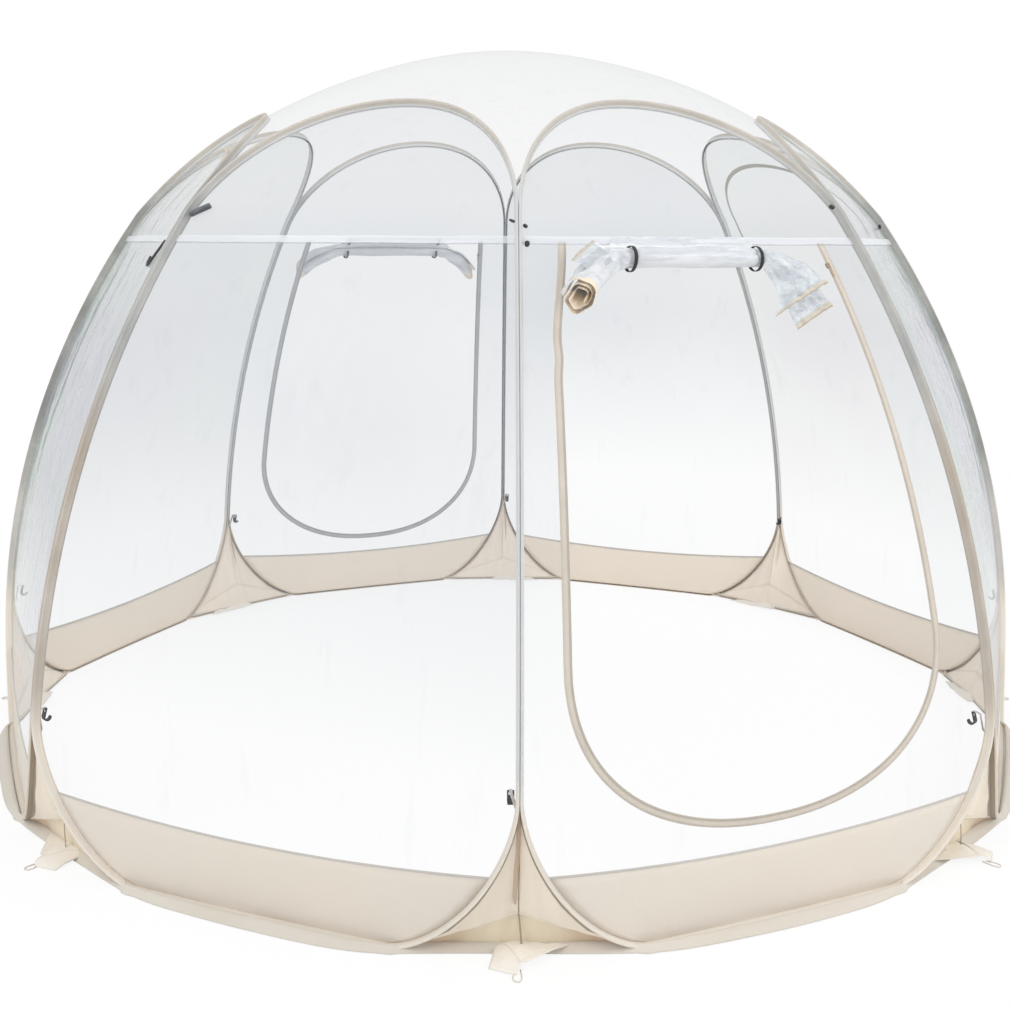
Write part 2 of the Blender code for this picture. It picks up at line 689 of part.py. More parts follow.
def make_rolls():
    """Each door, rolled up outside and hanging from its seam, and its two ties."""
    for door, panel in DOORS.items():
        stations = roll_stations(ROLL_SHIFT[door])
        rings = []
        for i, station in enumerate(stations):
            before, after = stations[max(i - 1, 0)], stations[min(i + 1, len(stations) - 1)]
            along = Vector((after[0] - before[0], after[1] - before[1])).normalized()
            rings.append(roll_ring(*station, along))
        place(f"{door}_door_roll", tube_mesh(f"{door}_roll", rings), "film", panel_azimuth(panel))
        for side, x in (("left", -TIE_SPREAD), ("right", TIE_SPREAD)):
            mesh = tie_mesh(f"{door}_tie_{side}", x + ROLL_SHIFT[door])
            tie = place(f"{door}_roll_tie_{side}", mesh, "elastic", panel_azimuth(panel))
            thicken(tie, TIE_THICKNESS)


def tie_mesh(name, x):
    """An elastic strap round the roll, up to its seam in front."""
    ring = roll_ring(x, ROLL_DROP, ROLL_RADIUS - TIE_SQUEEZE, Vector((1, 0)))
    sideways = Vector((1, 0, 0))
    away = GAP + TIE_THICKNESS / 2
    corners = [ring[-1]] + ring[:-1] + [ring[-1]]
    normals = [(b - a).cross(sideways).normalized() for a, b in zip(corners, corners[1:])]
    if normals[1].dot(ring[1] - ring[6]) < 0:
        normals = [-normal for normal in normals]
    line = [corners[0] + normals[0] * away]
    for corner, before, after in zip(corners[1:-1], normals, normals[1:]):
        middle = (before + after).normalized()
        line.append(corner + middle * (away / middle.dot(before)))
    line.append(corners[-2].lerp(corners[-1], TIE_BACK_SHARE) + normals[-1] * away)
    half = sideways * (TIE_WIDTH / 2)
    return grid_mesh(name, [[point - half, point + half] for point in line])


def hook_pairs():
    """The hook's side view as pairs of (reach, z) from its bar: a plate, then a curl inwards and up.

    It leans so that its weight hangs under the bar.
    """
    half = HOOK_BAR / 2
    pairs = [((half, z), (-half, z)) for z in (half, -half, -half - HOOK_SLOT, -HOOK_DROP)]
    for i in range(1, 6):
        turn = -radians(40 * i)
        pairs.append(tuple((radius * cos(turn) - HOOK_CURL, radius * sin(turn) - HOOK_DROP)
                           for radius in (HOOK_CURL + half, HOOK_CURL - half)))
    level, up = cos(HOOK_LEAN), sin(HOOK_LEAN)
    return [tuple((reach * level - z * up, reach * up + z * level) for reach, z in pair) for pair in pairs]


def make_hooks():
    """A plastic hook in each corner's tape loop, hanging inside the tent."""
    pairs = hook_pairs()
    slot = LOOP_WIDTH / 2 + LOOP_ROOM
    sides = (-HOOK_WIDTH / 2, -slot, slot, HOOK_WIDTH / 2)
    points = [Vector((x, -reach, z)) for pair in pairs for reach, z in pair for x in sides]
    cells = {(i, j) for i in range(len(pairs) - 1) for j in range(3)} - {(1, 1)}
    faces = []
    for i, j in sorted(cells):
        a, b = 8 * i + j, 8 * (i + 1) + j
        faces += [(a, a + 1, b + 1, b), (a + 4, a + 5, b + 5, b + 4)]
        if (i - 1, j) not in cells:
            faces.append((a, a + 1, a + 5, a + 4))
        if (i + 1, j) not in cells:
            faces.append((b, b + 1, b + 5, b + 4))
        if (i, j - 1) not in cells:
            faces.append((a, b, b + 4, a + 4))
        if (i, j + 1) not in cells:
            faces.append((a + 1, b + 1, b + 5, a + 5))
    mesh = mesh_from("hook", points, faces)
    for name in CORNERS:
        azimuth = corner_azimuth(name)
        hook = place(f"hook_{name}", mesh, "hook", azimuth)
        hook.location = Matrix.Rotation(-azimuth, 3, "Z") @ Vector((LOOP_SIDE, -BAR_REACH, BAR_HEIGHT))


clear_scene()
make_hoops()
make_bands()
make_walls()
make_roof()
make_gussets()
make_flap()
make_zips()
make_sliders()
make_rolls()
make_hooks()
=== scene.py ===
"""Pop-up bubble tent: the pieces that are seen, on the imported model's frame.

Metres, +Z up. A panel is made in its own frame, with its middle on -Y, and a corner with its rib
on -Y. Each is turned to its azimuth, which is measured from -Y towards -X.
"""
import bpy
from math import acos, atan, cos, exp, pi, radians, sin, sqrt, tan
from mathutils import Matrix, Vector, noise


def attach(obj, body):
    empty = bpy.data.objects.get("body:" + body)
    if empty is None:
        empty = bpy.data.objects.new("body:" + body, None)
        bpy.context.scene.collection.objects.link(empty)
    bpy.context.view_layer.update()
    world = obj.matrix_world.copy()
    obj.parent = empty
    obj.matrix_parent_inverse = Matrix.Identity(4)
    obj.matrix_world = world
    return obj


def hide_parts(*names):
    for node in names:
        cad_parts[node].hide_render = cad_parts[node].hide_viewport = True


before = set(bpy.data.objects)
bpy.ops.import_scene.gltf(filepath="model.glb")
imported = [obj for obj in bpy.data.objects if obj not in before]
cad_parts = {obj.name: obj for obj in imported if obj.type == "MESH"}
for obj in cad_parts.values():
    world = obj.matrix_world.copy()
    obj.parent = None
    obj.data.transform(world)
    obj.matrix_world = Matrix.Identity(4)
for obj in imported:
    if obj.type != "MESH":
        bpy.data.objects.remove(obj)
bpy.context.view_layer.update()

PANELS = ("front_left", "left_front", "left_back", "back_left",
          "back_right", "right_back", "right_front", "front_right")
CORNERS = ("front", "front_left", "left", "back_left",
           "back", "back_right", "right", "front_right")
DOORS = {"front": "front_right", "back": "back_left"}
VENTS = ("left_front", "right_back")

CORNER_RADIUS = 1.80
APEX_HEIGHT = 2.27
ROOF_ROUNDNESS = 1.75
WALL_ARC_RADIUS = 2.84
WALL_ARC_FOOT = 0.10
SPRING_HEIGHT = 1.72
ARCH_PEAK_HEIGHT = 2.017
ARCH_PEAK_REACH = 0.829
ARCH_FIRST_RISE = 0.386
ARCH_POWER = 2.09
FOOT_CURVE_HEIGHT = 0.408
FOOT_CURVE_WIDTH = 0.327
FOOT_CURVE_POWER = 1.615
FOOT_BOW = 0.022
BOW_HEIGHT = 0.90
SEAM_HEIGHT = 1.655
BAND_HEIGHT = 0.215
BAND_SAG = 0.030
BAND_CLOTH = 0.0012
CORNER_LIFT = 0.045
CORNER_BULGE = 0.014
FLAP_WIDTH = 0.042
FLAP_CLOTH = 0.0015
FLAP_FOLD = 0.007
HOOP_DIAMETER = 0.0045
SLEEVE_CLOTH = 0.0015
SLEEVE_DEPTH = 0.024
SLEEVE_INSIDE = 0.006
HOOP_CLEARANCE = 0.00075
GAP = 0.0003
SEAM_GAP = 0.0006
DOOR_SHARE = 0.79
DOOR_TOP = SEAM_HEIGHT - 0.009
DOOR_BOTTOM = 0.25
DOOR_POWER = 2.2
TAPE_WIDTH = 0.022
TAPE_CLOTH = 0.0018
SLIDER_LENGTH = 0.014
SLIDER_REACH = 0.008
SLIDER_PLATE = 0.0016
SLIDER_CLEARANCE = 0.0008
SLIDER_BELOW_SEAM = 0.060
SLIDER_SIDE = {"front": 1, "back": -1}
PULL_LENGTH = 0.026
ROLL_RADIUS = 0.034
ROLL_DROP = 0.085
ROLL_OFF_WALL = 0.007
ROLL_OVERHANG = 0.011
TAIL_FALL = 0.118
TAIL_RISE = 0.006
TAIL_ANGLE = radians(125)
TIE_WIDTH = 0.008
TIE_THICKNESS = 0.0016
TIE_SQUEEZE = 0.004
HOOK_WIDTH = 0.017
HOOK_BAR = 0.004
HOOK_SLOT = 0.0065
HOOK_DROP = 0.021
HOOK_CURL = 0.0095
HOOK_LEAN = radians(17.5)
LOOP_WIDTH = 0.008
LOOP_CLEARANCE = 0.0006
LOOP_ROOM = 0.0008
LOOP_REACH = 0.012
LOOP_HEIGHT = 0.366
LOOP_BACK = 0.009
LOOP_SIDE = -0.020
HOOK_HEIGHT = 0.425
ARCH_LIFT = 0.106
GUSSET_TOP = 0.402
PLEAT_TOP = 0.398
PLEAT_LENGTH = 0.262
DOOR_CURVE_TOP = 0.657
DOOR_SLACK = 0.032
VENT_HALF_WIDTH = 0.40
VENT_RISE = 0.262
VENT_TAPE_WIDTH = 0.012
ROOF_SAG = 0.014
ROOF_FALL = 0.300
TIE_SEEN_WIDTH = 0.010
TAB_CLOTH = 0.0011
TAB_REST = 0.0022
STRAP_CLOTH = 0.0009

BOTTOM_STEPS = 28
FOOT_STEPS = 12
RIB_STEPS = 30
ARCH_STEPS = 40
COLUMNS = 36
GUSSET_STEPS = 26
HEM_ROW = 15
PLEAT_STEPS = 17
SEAM_COLUMNS = 60
VENT_STEPS = 60
CURL_STEPS = 14
TIE_STEPS = 36

HALF = pi / len(PANELS)
FOOT_REACH = CORNER_RADIUS * cos(HALF)
SLEEVE_WIDTH = HOOP_DIAMETER + 2 * (HOOP_CLEARANCE + SLEEVE_CLOTH)
SLEEVE_OUTSIDE = SLEEVE_DEPTH - SLEEVE_INSIDE
FLIP = Matrix.Diagonal((-1, 1, 1))


# ---------------------------------------------------------------- materials

class Nodes:
    """The node tree of a new material or of the world, with short ways to add nodes."""

    def __init__(self, owner):
        self.owner = bpy.data.materials.new(owner) if isinstance(owner, str) else owner
        self.owner.use_nodes = True
        self.tree = self.owner.node_tree
        self.shader = self.tree.nodes.get("Principled BSDF")

    def fill(self, node, values):
        """Link a node's inputs, or set them where the value is a number or a colour."""
        for key, value in values:
            socket = node.inputs[key]
            if isinstance(value, bpy.types.NodeSocket):
                self.tree.links.new(value, socket)
            else:
                socket.default_value = value
        return node

    def add(self, kind, operation=None, **values):
        node = self.tree.nodes.new(kind)
        if operation:
            node.operation = operation
        return self.fill(node, [(key.replace("_", " "), value) for key, value in values.items()])

    def finish(self, **values):
        """Set the shader, and hand over the material."""
        self.fill(self.shader, [(key.replace("_", " "), value) for key, value in values.items()])
        return self.owner

    def object(self):
        return self.add("ShaderNodeTexCoord").outputs["Object"]

    def axes(self, vector):
        return self.add("ShaderNodeSeparateXYZ", Vector=vector).outputs

    def uv(self):
        return self.axes(self.add("ShaderNodeTexCoord").outputs["UV"])

    def height(self):
        return self.axes(self.object())["Z"]

    def math(self, operation, a, b=0.0, clamp=False):
        node = self.add("ShaderNodeMath", operation)
        node.use_clamp = clamp
        return self.fill(node, enumerate((a, b))).outputs[0]

    def times(self, a, b, clamp=False):
        return self.math("MULTIPLY", a, b, clamp)

    def plus(self, a, b, clamp=False):
        return self.math("ADD", a, b, clamp)

    def off(self, a, b=0.0):
        """How far a is from b, on either side."""
        return self.math("ABSOLUTE", self.math("SUBTRACT", a, b))

    def ramp(self, value, low, high, start=0.0, end=1.0):
        node = self.add("ShaderNodeMapRange", Value=value)
        limits = zip(("From Min", "From Max", "To Min", "To Max"), (low, high, start, end))
        return self.fill(node, limits).outputs["Result"]

    def mix(self, share, a, b):
        node = self.add("ShaderNodeMix")
        node.data_type = "RGBA"
        a, b = ((*colour, 1.0) if isinstance(colour, tuple) else colour for colour in (a, b))
        return self.fill(node, zip((0, 6, 7), (share, a, b))).outputs[2]

    def noise(self, scale, detail=3.0, stretch=None, roughness=0.5):
        where = self.object()
        if stretch:
            where = self.add("ShaderNodeMapping", Vector=where, Scale=stretch).outputs["Vector"]
        return self.add("ShaderNodeTexNoise", Vector=where, Scale=scale, Detail=detail,
                        Roughness=roughness).outputs["Fac"]

    def weave(self, pitch):
        """Threads over and under, as a height from 0 to 1."""
        parts = self.uv()
        waves = [self.math("SINE", self.times(parts[axis], 2 * pi / pitch)) for axis in "XY"]
        return self.times(self.plus(self.times(*waves), 1.0), 0.5)

    def bump(self, height, distance, strength, normal=None):
        node = self.add("ShaderNodeBump", Height=height, Distance=distance, Strength=strength)
        if normal:
            self.tree.links.new(normal, node.inputs["Normal"])
        return node.outputs["Normal"]


def shade(colour, factor):
    return tuple(min(c * factor, 1) for c in colour)


def cloth(name, colour, second, pitch=0.0011, crease=0.004, ends=None):
    """Woven polyester with soft creases, slow changes of tone and perhaps ends darkened by painted
    shade.
    """
    n = Nodes(name)
    tone = n.noise(2.2, 4.0)
    creases = n.noise(9.0, 5.0, roughness=0.62)
    threads = n.weave(pitch)
    mixed = n.mix(n.ramp(tone, 0.35, 0.68), second, colour)
    # painted shade: given ends, the colour darkens towards the piece's ends along x
    if ends:
        mixed = n.mix(n.ramp(n.off(n.axes(n.object())["X"]), 0.07, 0.19), mixed, ends)
    mixed = n.mix(n.ramp(threads, 0.0, 0.5, 0.16, 0.0), mixed, shade(colour, 0.72))
    return n.finish(Base_Color=mixed, Roughness=0.86, Sheen_Weight=0.25, Sheen_Roughness=0.5,
                    Normal=n.bump(threads, 0.00025, 0.5, n.bump(creases, crease, 0.7)))


def clear(name, colour, thin, thick, haze=0.12, fade=(0.75, 1.45, 0.12, 1.0), foot=None,
          shoulder=None, shine=0.14, tint=None):
    """Clear film: a faint tint, deeper where it is seen edge-on, with creases in its bump and
    streaks of deeper cover along them, partly the film's own milky fold marks and partly painted
    light and shade.

    thin and thick are its cover seen straight on and edge-on. fade changes the first with the
    height, and foot and shoulder the whole cover, as (from height, to height, from, to).
    """
    n = Nodes(name)
    edge = n.math("POWER", n.add("ShaderNodeLayerWeight", Blend=0.30).outputs["Facing"], 2.0)
    streaks = n.noise(5.0, 3.0, (2.6, 2.6, 0.42), 0.6)
    ripples = n.noise(14.0, 1.0)
    slow = n.noise(1.3, 1.0)
    body = n.ramp(slow, 0.30, 0.72, thin * 0.85, thin * 1.15)
    height = n.height()
    if fade:
        body = n.times(body, n.ramp(height, *fade))
    # painted light and shade: streaks of deeper cover along the creases, partly the film's own
    # milky fold marks
    crease = n.ramp(streaks, 0.60, 0.78, 0.0, 0.05)
    alpha = n.plus(n.plus(body, crease), n.times(edge, thick - thin), clamp=True)
    if foot:
        alpha = n.times(alpha, n.ramp(height, *foot))
    if shoulder:
        alpha = n.times(alpha, n.ramp(height, *shoulder), clamp=True)
    second = tint or shade(colour, 1.06)
    return n.finish(Base_Color=n.mix(n.ramp(slow, 0.40, 0.60), colour, second),
                    Roughness=haze, Specular_IOR_Level=shine, Alpha=alpha,
                    Normal=n.bump(n.plus(streaks, ripples), 0.005, 0.6))


def rolled(name, colour, second, cover):
    """Film in several layers: milky, with darker lines of painted shade where it is creased."""
    n = Nodes(name)
    folds = n.noise(9.0, 4.0, (0.45, 3.0, 3.0), 0.65)
    # painted shade: darker lines along the folds' creases
    lines = n.ramp(n.off(folds, 0.5), 0.0, 0.035, 1.0, 0.0)
    tone = n.mix(n.times(n.ramp(folds, 0.38, 0.62), 0.35), colour, second)
    return n.finish(Base_Color=n.mix(n.times(lines, 0.65), tone, second), Roughness=0.24,
                    Specular_IOR_Level=0.5, Alpha=n.plus(cover, n.times(lines, 0.2), clamp=True),
                    Normal=n.bump(folds, 0.006, 0.9))


def sleeve_tape(name, arch_colour, rib_colour, foot_colour):
    """Tape round the hoops: beige at the arches, cream at the foot, and darker and a warmer tan on
    the tent's sides, where painted shade darkens it by its place round the tent.
    """
    n = Nodes(name)
    height = n.height()
    place = n.axes(n.add("ShaderNodeNewGeometry").outputs["Position"])
    # painted shade: sleeves on the tent's sides are darker, and the outermost ones darkest low
    # down
    side = n.times(n.ramp(n.off(place["X"]), 0.30, 0.7), n.ramp(place["Y"], 0.9, 0.3))
    outermost = n.ramp(n.off(place["Y"]), 0.16, 0.07)
    side_shade = n.mix(n.ramp(height, 1.35, 1.10), (0.42, 0.42, 0.405), (0.47, 0.405, 0.335))
    outermost_shade = n.mix(n.ramp(height, 0.95, 0.75), (0.27, 0.27, 0.255), (0.50, 0.48, 0.44))
    colour = n.mix(side, rib_colour, n.mix(outermost, side_shade, outermost_shade))
    colour = n.mix(n.ramp(height, 1.74, 1.92), colour, arch_colour)
    colour = n.mix(n.ramp(height, 0.50, 0.36), colour, foot_colour)
    colour = n.mix(n.ramp(n.noise(7.0, 4.0), 0.35, 0.7, 0.0, 0.35), colour, (0.76, 0.73, 0.69))
    parts = n.uv()
    thread = n.math("GREATER_THAN", n.math("PINGPONG", parts["Y"], 0.0035), 0.0013)
    row = n.math("LESS_THAN", n.off(n.off(parts["X"], 0.0265), 0.0165), 0.0006)
    stitch = n.times(thread, row)
    colour = n.mix(n.times(stitch, 0.45), colour, (0.40, 0.36, 0.31))
    relief = n.math("SUBTRACT", n.weave(0.0009), n.times(stitch, 1.5))
    return n.finish(Base_Color=colour, Roughness=0.8, Sheen_Weight=0.2,
                    Normal=n.bump(relief, 0.0003, 0.6))


def zip_tape(name, colour, dark):
    """Zip tape with its row of coil teeth along the inner edge."""
    n = Nodes(name)
    parts = n.uv()
    across = n.math("PINGPONG", parts["X"], 0.0235)
    coil = n.times(n.math("GREATER_THAN", across, 0.0162), n.math("LESS_THAN", across, 0.0222))
    teeth = n.times(n.math("PINGPONG", parts["Y"], 0.0009), 1 / 0.0009)
    seam = n.math("LESS_THAN", n.off(across, 0.0055), 0.0005)
    stitch = n.times(seam, n.math("GREATER_THAN", n.math("PINGPONG", parts["Y"], 0.003), 0.001))
    base = n.mix(n.ramp(n.noise(12.0), 0.3, 0.7), colour, shade(colour, 1.12))
    base = n.mix(n.times(coil, n.ramp(teeth, 0.0, 1.0, 0.9, 0.35)), base, dark)
    base = n.mix(n.times(stitch, 0.5), base, dark)
    relief = n.plus(n.times(coil, teeth), n.times(n.weave(0.0009), 0.35))
    return n.finish(Base_Color=base, Roughness=0.72, Normal=n.bump(relief, 0.0005, 0.8))


def elastic(name):
    """Black ribbed elastic."""
    n = Nodes(name)
    ribs = n.times(n.math("PINGPONG", n.uv()["X"], 0.0006), 1 / 0.0006)
    return n.finish(Base_Color=n.mix(ribs, (0.012, 0.012, 0.014), (0.035, 0.035, 0.04)),
                    Roughness=0.85, Sheen_Weight=0.15, Normal=n.bump(ribs, 0.0004, 0.7))


def moulded(name, colour, roughness):
    """Moulded plastic with a fine grain."""
    n = Nodes(name)
    grain = n.noise(900.0, 2.0)
    tone = n.ramp(n.noise(60.0), 0.35, 0.65)
    return n.finish(Base_Color=n.mix(tone, colour, shade(colour, 1.5)),
                    Roughness=n.ramp(grain, 0.3, 0.7, roughness - 0.06, roughness + 0.08),
                    Normal=n.bump(grain, 0.00008, 0.5))


def metal(name, colour, roughness, brush):
    """Plated or drawn metal."""
    n = Nodes(name)
    wear = n.noise(brush, 4.0)
    return n.finish(Base_Color=n.mix(n.ramp(wear, 0.35, 0.7), colour, shade(colour, 1.35)),
                    Roughness=n.ramp(wear, 0.3, 0.7, roughness - 0.07, roughness + 0.1),
                    Metallic=1.0, Normal=n.bump(wear, 0.0001, 0.4))


NARROW = dict(pitch=0.0009, crease=0.001)
BAND = cloth("beige cloth", (0.745, 0.672, 0.585), (0.715, 0.655, 0.575))
# painted light: a lighter copy of the band cloth, for inner faces that the lamps leave in shade
BAND_INNER_LIT = cloth("beige cloth inside", (0.89, 0.79, 0.68), (0.86, 0.77, 0.66))
GUSSET = cloth("gusset cloth", (0.87, 0.775, 0.65), (0.83, 0.735, 0.605))
# painted shade: the folded hem darkens towards its ends, under the arched fold
UNDER = cloth("folded hem", (0.86, 0.76, 0.59), (0.80, 0.70, 0.53), crease=0.003,
              ends=(0.62, 0.45, 0.31))
FLAP = cloth("cream cloth", (0.69, 0.64, 0.57), (0.655, 0.60, 0.52), crease=0.006)
TAB = cloth("tab cloth", (0.90, 0.85, 0.78), (0.87, 0.82, 0.74), crease=0.006)
BINDING = cloth("grey binding", (0.56, 0.53, 0.49), (0.52, 0.49, 0.455), **NARROW)
SEAM = cloth("seam fold", (0.40, 0.33, 0.25), (0.36, 0.29, 0.215), **NARROW)
# painted shade: the pleat is the gusset's cloth, coloured a darker tan for the shade in its fold
PLEAT = cloth("pleat", (0.62, 0.48, 0.35), (0.56, 0.42, 0.29), **NARROW)
HEM = cloth("door hem", (0.64, 0.59, 0.50), (0.58, 0.52, 0.43), pitch=0.0009, crease=0.002)
# painted light: a lighter copy of the hem, for the roll's open end, which lies in shade
ROLL_END_HEM_LIT = cloth("door end hem", (0.90, 0.80, 0.66), (0.84, 0.68, 0.50), pitch=0.0009, crease=0.002)
HEM_EDGE = cloth("door hem edge", (0.47, 0.38, 0.27), (0.40, 0.32, 0.22), **NARROW)
CORD = cloth("loop cord", (0.72, 0.68, 0.61), (0.68, 0.63, 0.56), pitch=0.0012, crease=0.001)

FRONT_TINT, BACK_TINT, SIDE_TINT = (0.36, 0.40, 0.44), (0.34, 0.40, 0.46), (0.38, 0.46, 0.43)
FRONT_FADE = dict(fade=(0.45, 1.20, 0.06, 1.0), shoulder=(1.62, 1.75, 1.12, 0.86))
BACK_FADE = dict(shoulder=(1.62, 1.75, 1.0, 0.80))
SIDE_FADE = dict(fade=(0.45, 1.35, 0.12, 1.0), shoulder=(1.62, 1.80, 1.0, 0.80),
                 tint=(0.42, 0.42, 0.48))
WALL_FILMS = {
    "front_left": clear("clear front film", FRONT_TINT, 0.262, 0.57, **FRONT_FADE),
    "front_right": clear("clear front door film", FRONT_TINT, 0.150, 0.50, **FRONT_FADE),
    "back_left": clear("clear back door film", BACK_TINT, 0.155, 0.46, **BACK_FADE),
    "back_right": clear("clear back film", BACK_TINT, 0.290, 0.55, fade=(0.60, 1.35, 0.16, 1.0),
                        **BACK_FADE),
    "left_back": clear("clear left film", SIDE_TINT, 0.205, 0.42, **SIDE_FADE),
    "right_back": clear("clear right film", SIDE_TINT, 0.290, 0.48, **SIDE_FADE),
}
OUTER_FILM = clear("clear outer film", (0.35, 0.42, 0.39), 0.130, 1.00, fade=None,
                   foot=(0.30, 0.95, 0.45, 1.75), shoulder=(1.35, 1.85, 1.0, 0.45),
                   tint=(0.38, 0.39, 0.44))
ROOF = clear("clear roof film", (0.40, 0.42, 0.44), 0.065, 0.16, fade=None, shine=0.0)
ROLLED = rolled("rolled film", (0.84, 0.85, 0.87), (0.44, 0.47, 0.52), 0.86)
LOOSE = rolled("loose film", (0.72, 0.76, 0.79), (0.32, 0.37, 0.42), 0.64)
SEAM_TAPE = clear("welded seam", (0.80, 0.815, 0.84), 0.60, 0.82, haze=0.3, fade=None)
SEAM_LINE = clear("seam line", (0.38, 0.40, 0.44), 0.40, 0.7, haze=0.3, fade=None)
SLEEVE = sleeve_tape("sleeve tape", (0.56, 0.51, 0.44), (0.60, 0.61, 0.615), (0.77, 0.70, 0.605))
# painted light: a lighter copy of the sleeve tape, for its inner faces, which lie in shade
SLEEVE_INNER_LIT = sleeve_tape("sleeve inside", (0.70, 0.70, 0.69), (0.70, 0.705, 0.71),
                          (0.78, 0.68, 0.56))
ZIP = zip_tape("zip tape", (0.58, 0.52, 0.445), (0.40, 0.36, 0.31))
ZIP_BACK = zip_tape("zip back", (0.42, 0.42, 0.42), (0.30, 0.30, 0.30))
ELASTIC = elastic("black elastic")
HOOK = moulded("black plastic", (0.022, 0.022, 0.025), 0.36)
CLIP = moulded("grey plastic", (0.07, 0.075, 0.085), 0.42)
STEEL = metal("spring steel", (0.50, 0.51, 0.53), 0.30, 40.0)
BRONZE = metal("bronze slider", (0.34, 0.27, 0.19), 0.34, 220.0)


# ---------------------------------------------------------------- mesh helpers

def build(name, points, faces, uvs=None, kinds=None):
    """A mesh: smooth with its UVs and material numbers, or else flat with an empty UV layer."""
    mesh = bpy.data.meshes.new(name)
    mesh.from_pydata(points, [], faces)
    layer = mesh.uv_layers.new(name="UVMap")
    if uvs:
        layer.data.foreach_set("uv", uvs)
        mesh.polygons.foreach_set("material_index", kinds)
        mesh.polygons.foreach_set("use_smooth", [True] * len(faces))
    return mesh


def surface(name, rows, loop_rows=False, loop_columns=False, pick=None):
    """A smooth grid through rows of points, its UVs in metres. pick(r, c) is a face's material."""
    across = len(rows[0])
    down, side = [0.0], [0.0]
    for a, b in zip(rows, rows[1:] + rows[:1]):
        down.append(down[-1] + sum((p - q).length for p, q in zip(a, b)) / across)
    middle = rows[len(rows) // 2]
    for p, q in zip(middle, middle[1:] + middle[:1]):
        side.append(side[-1] + (q - p).length)
    faces, uvs, kinds = [], [], []
    for r in range(len(rows) if loop_rows else len(rows) - 1):
        for c in range(across if loop_columns else across - 1):
            r2, c2 = (r + 1) % len(rows), (c + 1) % across
            faces.append((r * across + c, r * across + c2, r2 * across + c2, r2 * across + c))
            left, right, high, low = side[c], side[c + 1], down[r], down[r + 1]
            uvs += [left, high, right, high, right, low, left, low]
            kinds.append(pick(r, c) if pick else 0)
    return build(name, [p for row in rows for p in row], faces, uvs, kinds)


def join(name, meshes):
    """Several meshes as one."""
    points, faces, uvs, kinds = [], [], [], []
    for mesh in meshes:
        start = len(points)
        points += [v.co.copy() for v in mesh.vertices]
        faces += [tuple(start + i for i in p.vertices) for p in mesh.polygons]
        kinds += [p.material_index for p in mesh.polygons]
        layer = mesh.uv_layers[0].data
        uvs += [x for p in mesh.polygons for i in p.loop_indices for x in layer[i].uv]
    return build(name, points, faces, uvs, kinds)


def grid(down, across, point):
    """Rows of points, from their shares of the way down and across."""
    return [[point(i / down, j / across) for j in range(across + 1)] for i in range(down + 1)]


def both_sides(right):
    """Rows of the right half, and their mirror images back up the left."""
    return right + [[FLIP @ p for p in row] for row in reversed(right[:-1])]


def clamp(value):
    return min(max(value, 0.0), 1.0)


def smooth(t):
    return t * t * (3 - 2 * t)


def wavy(x, y, z):
    """Smooth noise, from -1 to 1."""
    return noise.noise(Vector((x, y, z)))


def sweep(name, path, radius, sides=8, closed=False, flat=1.0, up=Vector((0, 0, 1))):
    """A round or flattened cord through a path."""
    rows = []
    count = len(path)
    for i, here in enumerate(path):
        before = path[(i - 1) % count] if closed or i else here
        after = path[(i + 1) % count] if closed or i + 1 < count else here
        along = (after - before).normalized()
        side = along.cross(up)
        if side.length < 1e-4:
            side = along.cross(Vector((1, 0, 0)))
        side.normalize()
        high = side.cross(along)
        size = radius(i / max(count - 1, 1)) if callable(radius) else radius
        turns = [2 * pi * k / sides for k in range(sides)]
        rows.append([here + side * (size * cos(turn)) + high * (size * flat * sin(turn))
                     for turn in turns])
    if not closed:
        for end, spot in ((0, path[0]), (-1, path[-1])):
            cap = [spot + (p - spot) * 0.02 for p in rows[end]]
            rows.insert(0 if end == 0 else len(rows), cap)
    return surface(name, rows, loop_rows=closed, loop_columns=True)


def smooth_path(points, steps, closed=False):
    """A Catmull-Rom curve through points."""
    count = len(points)
    out = []
    for i in range(count if closed else count - 1):
        p = [points[(i + k) % count] if closed else points[min(max(i + k, 0), count - 1)]
             for k in (-1, 0, 1, 2)]
        for j in range(steps):
            t = j / steps
            out.append(0.5 * (2 * p[1] + (p[2] - p[0]) * t
                              + (2 * p[0] - 5 * p[1] + 4 * p[2] - p[3]) * t ** 2
                              + (3 * p[1] - p[0] - 3 * p[2] + p[3]) * t ** 3))
    if not closed:
        out.append(points[-1])
    return out


def add_object(name, data):
    thing = bpy.data.objects.new(name, data)
    bpy.context.scene.collection.objects.link(thing)
    return thing


def piece(name, mesh, materials, azimuth=0.0, body="tent", stands_for=(), place=None):
    """One object that rides on its body."""
    thing = add_object(name, mesh)
    thing.rotation_euler.z = -azimuth
    if place:
        thing.location = Matrix.Rotation(-azimuth, 3, "Z") @ place
    if not mesh.materials:
        for material in materials:
            mesh.materials.append(material)
    bpy.context.view_layer.update()
    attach(thing, body)
    if stands_for:
        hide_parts(*stands_for)
    return thing


def round_edges(thing, width, segments=2):
    bevel = thing.modifiers.new("edges", "BEVEL")
    bevel.width = width
    bevel.segments = segments
    bevel.limit_method = "ANGLE"


def thicken(thing, thickness, inside=0):
    """Give a sheet its thickness. Its second skin uses the material so many places further on."""
    solid = thing.modifiers.new("thickness", "SOLIDIFY")
    solid.thickness = thickness
    solid.offset = 0.0
    solid.material_offset = inside


def panel_azimuth(name):
    return HALF * (2 * PANELS.index(name) + 1)


def corner_azimuth(name):
    return HALF * 2 * CORNERS.index(name)


def rough(point, scale, seed=0.0):
    """Smooth noise at a point, with a scale for each axis."""
    return wavy(point.x * scale[0] + seed, point.y * scale[1] - seed,
                point.z * scale[2] + 2 * seed)


# ---------------------------------------------------------------- the tent's geometry

